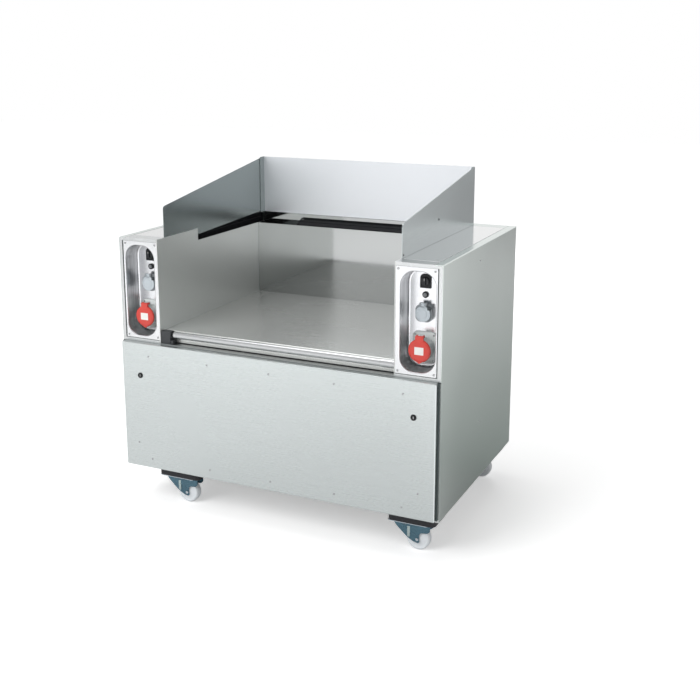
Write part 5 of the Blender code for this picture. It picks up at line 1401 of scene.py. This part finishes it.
@dataclass
class Caster:
    """One swivel caster: mounting block, top plate, fork and nylon wheel."""

    place: str
    trail: float = 0.020
    wheel_radius: float = 0.0375
    wheel_width: float = 0.028
    leg: float = 0.003
    leg_gap: float = 0.0015
    head_low: float = 0.0835
    head_high: float = 0.0972
    plate_low: float = 0.0975
    plate_high: float = 0.100
    plate_half: tuple[float, float] = (0.066, 0.050)
    bolts: tuple[float, float] = (0.052, 0.037)
    kingpin: Pin = Pin(0.0895, 0.0058, 0.0160, 0.0005, 24)
    kingpin_nut: Pin = Pin(0.0820, 0.0094, 0.0026, 0.0006, 6)
    bolt_head: Pin = Pin(0.0954, 0.0062, 0.0042, 0.0006, 6)
    washer: Pin = Pin(0.0970, 0.0078, 0.0010, 0.0003, 28)
    axle_radius: float = 0.0038
    wheel_bore: float = 0.0044

    @property
    def axis(self) -> Vector:
        """The swivel axis, on the floor."""
        wheel = middle(f"caster_wheel_{self.place}")
        return Vector((wheel.x - self.trail, wheel.y, 0.0))

    def build(self) -> None:
        """Make the mount, the fork and the wheel."""
        self.mount()
        self.fork()
        self.wheel()

    def mount(self) -> None:
        """The black block and the zinc plate with its four bolts and kingpin."""
        node = f"caster_mount_{self.place}"
        low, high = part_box(node)
        axis = self.axis
        block = Blank().plate(rectangle((low.x, low.y), (high.x, high.y)), Plane.XY,
                              (self.plate_high, high.z), (0.016,), 0.0050, 6)
        block.piece(f"caster_block_{self.place}", MOUNT_BLACK, node)
        plate = Blank().plate(rectangle_round((axis.x, axis.y), *self.plate_half), Plane.XY,
                              (self.plate_low, self.plate_high), (0.010,), 0.0007, 6)
        self.kingpin.add(plate, axis.x, axis.y)
        self.kingpin_nut.add(plate, axis.x, axis.y)
        plate.piece(f"caster_plate_{self.place}", PLATE_ZINC)
        bolts = Blank()
        across, along = self.bolts
        for x in (axis.x - across, axis.x + across):
            for y in (axis.y - along, axis.y + along):
                self.bolt_head.add(bolts, x, y)
                self.washer.add(bolts, x, y)
        bolts.piece(f"caster_bolts_{self.place}", AXLE_ZINC)

    def fork(self) -> None:
        """The pressed fork: swivel head with two races, legs with a rib painted as a highlight,
        bridge and axle.
        """
        node = f"caster_fork_{self.place}"
        axis = self.axis
        x, y = axis.x, axis.y
        low, high = self.head_low, self.head_high
        profile = ((0.0066, low), (0.0340, low), (0.0375, low + 0.0012), (0.0388, low + 0.0040),
                   (0.0392, low + 0.0062), (0.0418, low + 0.0070), (0.0432, low + 0.0088),
                   (0.0440, low + 0.0112), (0.0440, high - 0.0008), (0.0432, high),
                   (0.0066, high))
        blank = Blank().turned(profile, (x, y, 0.0), "Z", 56, closed=True)
        inner = self.wheel_width / 2 + self.leg_gap
        outer = inner + self.leg
        top = low + 0.002
        hub = x + self.trail
        outline = ((x - 0.057, top), (x - 0.057, 0.0835), (x - 0.049, 0.0715),
                   (hub - 0.034, 0.0400), (hub - 0.013, 0.0280), (hub + 0.003, 0.0245),
                   (hub + 0.0065, 0.0280), (hub + 0.005, 0.0500), (hub + 0.011, 0.0595),
                   (hub + 0.033, 0.0615), (hub + 0.041, 0.0690), (hub + 0.041, top))
        corners = (0.0, 0.003, 0.006, 0.006, 0.004, 0.0018, 0.0018, 0.005, 0.004, 0.003, 0.003,
                   0.0)
        # The rib on each leg is far lighter than the leg it stands on: a painted highlight.
        lit_ribs = Blank()
        for sign in (-1, 1):
            span = side_span(sign, inner, outer)
            blank.plate(outline, Plane.XZ, (y + span[0], y + span[1]), corners, 0.0006, 6)
            near, far = side_span(sign, outer - 0.0020, outer + 0.0030)
            lit_ribs.box((x - 0.0125, y + near, 0.0415), (x - 0.0030, y + far, top), 0.0024, 4)
        lit_ribs.piece(f"caster_lit_rib_{self.place}", LIT_RIB_ZINC, body=node)
        blank.box((x - 0.054, y - outer, low), (x + 0.047, y + outer, low + 0.003), 0.0008)
        blank.piece(f"caster_yoke_{self.place}", FORK_ZINC, node, body=node)
        wheel = middle(f"caster_wheel_{self.place}")
        axle = Blank().drum((wheel.x, y, self.wheel_radius), "Y", self.axle_radius,
                            2 * outer + 0.004, 0.0004, 28)
        for sign in (-1, 1):
            axle.drum((wheel.x, y + sign * (outer + 0.0016), self.wheel_radius), "Y", 0.0054,
                      0.0034, 0.0008, 6)
        axle.piece(f"caster_axle_{self.place}", AXLE_ZINC, body=node)

    def wheel(self) -> None:
        """The nylon wheel: hub, a slightly dished web and an eased tread."""
        node = f"caster_wheel_{self.place}"
        centre = middle(node)
        half, rim = self.wheel_width / 2, self.wheel_radius
        bore = self.wheel_bore
        outer = [(bore, half), (0.0100, half), (0.0112, half - 0.0008), (0.0150, half - 0.0016),
                 (0.0250, half - 0.0020), (0.0295, half - 0.0014), (0.0312, half - 0.0004),
                 (0.0330, half - 0.0006), (rim - 0.0024, half - 0.0018),
                 (rim - 0.0010, half - 0.0036), (rim - 0.0003, half - 0.0060),
                 (rim, half - 0.0090)]
        profile = outer + [(r, -h) for r, h in reversed(outer)]
        blank = Blank().turned(profile, centre, "Y", 72, closed=True)
        blank.piece(f"caster_roller_{self.place}", WHEEL_NYLON, node, body=node)


# ================================================================ inside
@dataclass
class Interior:
    """What stands on the tray behind the front panel: its shapes stay, its finishes change."""

    finishes: dict[str, Finish] = field(default_factory=lambda: {
        "blower_housing": BLOWER_PAINT, "blower_motor": MOTOR_PAINT,
        "blower_impeller": INNER_STEEL, "filter_cassette": INNER_STEEL,
        "electric_box": BOX_PAINT, "cable_gland": SWITCH_BLACK})

    def build(self) -> None:
        """Dress the blower, the filter, the electric box and the gland."""
        for node, finish in self.finishes.items():
            dress_node(node, finish)


# ================================================================ studio
@dataclass(frozen=True)
class Lamp:
    """A square soft box and what it is aimed at."""

    name: str
    place: Point
    aim: Point
    size: float
    power: float
    mirrored: bool = False

    def build(self) -> None:
        """Hang the lamp; only a mirrored one is seen in the steel."""
        lamp = bpy.data.lights.new(self.name, "AREA")
        lamp.shape = "SQUARE"
        lamp.size = self.size
        lamp.energy = self.power
        placed = bpy.data.objects.new(self.name, lamp)
        placed.location = self.place
        towards = Vector(self.aim) - Vector(self.place)
        placed.rotation_euler = towards.to_track_quat("-Z", "Y").to_euler()
        placed.visible_camera = False
        placed.visible_glossy = self.mirrored
        bpy.context.scene.collection.objects.link(placed)


@dataclass
class Studio:
    """Floor, lights, world and camera."""

    camera_place: Point = (1.5199, -3.0650, 1.4957)
    yaw: float = 24.8
    pitch: float = -12.52
    lens: float = 53.91
    shift: float = -0.10
    floor_half: float = 14.0
    # The most that the floor's painted glow, seen only in the steel, reaches.
    painted_glow_cap: float = 0.62
    ambient: float = 0.32
    dim_side: float = 0.26
    bright_sides: tuple[tuple[Point, float], ...] = (
        ((-0.60, -0.80, 0.0), 0.74), ((-0.99, 0.0, 0.14), 0.30), ((0.0, 0.90, 0.44), 0.80))
    lamps: tuple[Lamp, ...] = (
        Lamp("key", (-1.7, -3.4, 3.0), (0.0, -1.1, 0.0), 2.6, 125.0),
        Lamp("behind", (-1.5, 4.1, 2.3), (0.0, 0.3, 0.9), 3.2, 60.0),
        Lamp("fill", (3.4, -2.4, 2.2), (0.4, -0.3, 0.5), 2.4, 22.0),
        Lamp("top", (-0.6, 0.0, 3.6), (-0.2, -0.2, 0.0), 2.6, 40.0, True))

    def build(self) -> None:
        """Set up the studio."""
        self.floor()
        self.lights()
        self.world()
        self.camera()
        bpy.context.scene.view_settings.view_transform = "Standard"

    def floor(self) -> None:
        """The pale floor: it keeps the object's shadow and whitens away from it; in the steel's
        reflections only, it carries a painted glow ahead of and behind the object and painted
        shade near it at the back.
        """
        mesh = bpy.data.meshes.new("studio_floor")
        bm = bmesh.new()
        bmesh.ops.create_grid(bm, x_segments=1, y_segments=1, size=self.floor_half)
        bm.to_mesh(mesh)
        bm.free()
        floor = bpy.data.objects.new("studio_floor", mesh)
        bpy.context.scene.collection.objects.link(floor)
        made = bpy.data.materials.new("studio_floor")
        made.use_nodes = True
        sheet = NodeSheet(made.node_tree)
        seen, mirrored = self.looks(sheet)
        reach = sheet.node("ShaderNodeTexGradient", {"gradient_type": "SPHERICAL"},
                           {"Vector": sheet.placed((0.22, 0.22, 0.22))}, 1)
        place = sheet.placed()
        across, along = sheet.part(place, 0), sheet.part(place, 1)
        # Painted reflection: seen only in the steel, the floor glows ahead of the object and
        # behind it to the right.
        painted_glow_ahead = sheet.clamp(along * -0.24 - 0.42, self.painted_glow_cap)
        behind = sheet.clamp(across * 1.44 - along * 0.48 - 0.95, self.painted_glow_cap)
        # Painted shade: seen only in the steel, the floor darkens near the object towards the
        # back.
        painted_rear_shade = sheet.clamp(along * 1.5 + 0.4)
        tone = sheet.blend(mirrored * painted_rear_shade * reach, (0.84, 0.84, 0.84), (0.33, 0.37, 0.35))
        glow = seen * (0.78 - reach * 0.42) + mirrored * (painted_glow_ahead + behind)
        shader = sheet.node("ShaderNodeBsdfPrincipled", {}, {
            "Base Color": tone, "Roughness": 0.9, "Specular IOR Level": 0.1,
            "Emission Color": (1.0, 1.0, 1.0, 1.0), "Emission Strength": glow})
        sheet.node("ShaderNodeOutputMaterial", {}, {"Surface": shader})
        mesh.materials.append(made)

    @staticmethod
    def looks(sheet: NodeSheet) -> tuple[Signal, Signal]:
        """Masks for rays straight to the backdrop, through glass too, and for mirrored ones."""
        camera = sheet.node("ShaderNodeLightPath", output=0)
        mirrored = sheet.node("ShaderNodeLightPath", output=3)
        through = sheet.node("ShaderNodeLightPath", output=6)
        return sheet.clamp(camera + through), mirrored

    def lights(self) -> None:
        """Hang the key at the front left, one lamp behind, a fill at the right, one overhead."""
        for lamp in self.lamps:
            lamp.build()

    def world(self) -> None:
        """White behind the object, a few bright sides in its steel, plain soft light on it."""
        world = bpy.data.worlds.new("studio")
        world.use_nodes = True
        sheet = NodeSheet(world.node_tree)
        seen, mirrored = self.looks(sheet)
        direction = sheet.node("ShaderNodeTexCoord", output=0)
        level = self.dim_side
        for axis, weight in self.bright_sides:
            along = sheet.node("ShaderNodeVectorMath", {"operation": "DOT_PRODUCT"},
                               {0: direction, 1: axis}, 1)
            along = sheet.clamp(along)
            level = along * along * weight + level
        mirror_level = mirrored * (level - self.ambient) + self.ambient
        strength = seen * (1.0 - mirror_level) + mirror_level
        glow = sheet.node("ShaderNodeBackground", {}, {"Color": (1.0, 1.0, 1.0, 1.0),
                                                       "Strength": strength})
        sheet.node("ShaderNodeOutputWorld", {}, {"Surface": glow})
        bpy.context.scene.world = world

    def camera(self) -> None:
        """The camera, a little above the counter at the front right."""
        lens = bpy.data.cameras.new("station_camera")
        lens.lens = self.lens
        lens.sensor_width = 36.0
        lens.shift_y = self.shift
        placed = bpy.data.objects.new("station_camera", lens)
        placed.location = self.camera_place
        yaw, pitch = math.radians(self.yaw), math.radians(self.pitch)
        forward = Vector((-math.sin(yaw) * math.cos(pitch), math.cos(yaw) * math.cos(pitch),
                          math.sin(pitch)))
        placed.rotation_euler = forward.to_track_quat("-Z", "Y").to_euler()
        bpy.context.scene.collection.objects.link(placed)
        bpy.context.scene.camera = placed


def main() -> None:
    """Build the station's pieces in order, then the studio."""
    logging.basicConfig(level=logging.INFO, format="%(message)s")
    Cabinet().build()
    Bay().build()
    SplashGuard().build()
    for label, side in SIDES:
        Console(label, side).build()
    FrontPanel().build()
    for place in ("front_left", "front_right", "rear_left", "rear_right"):
        Caster(place).build()
    Interior().build()
    Studio().build()


if __name__ == "__main__":
    main()
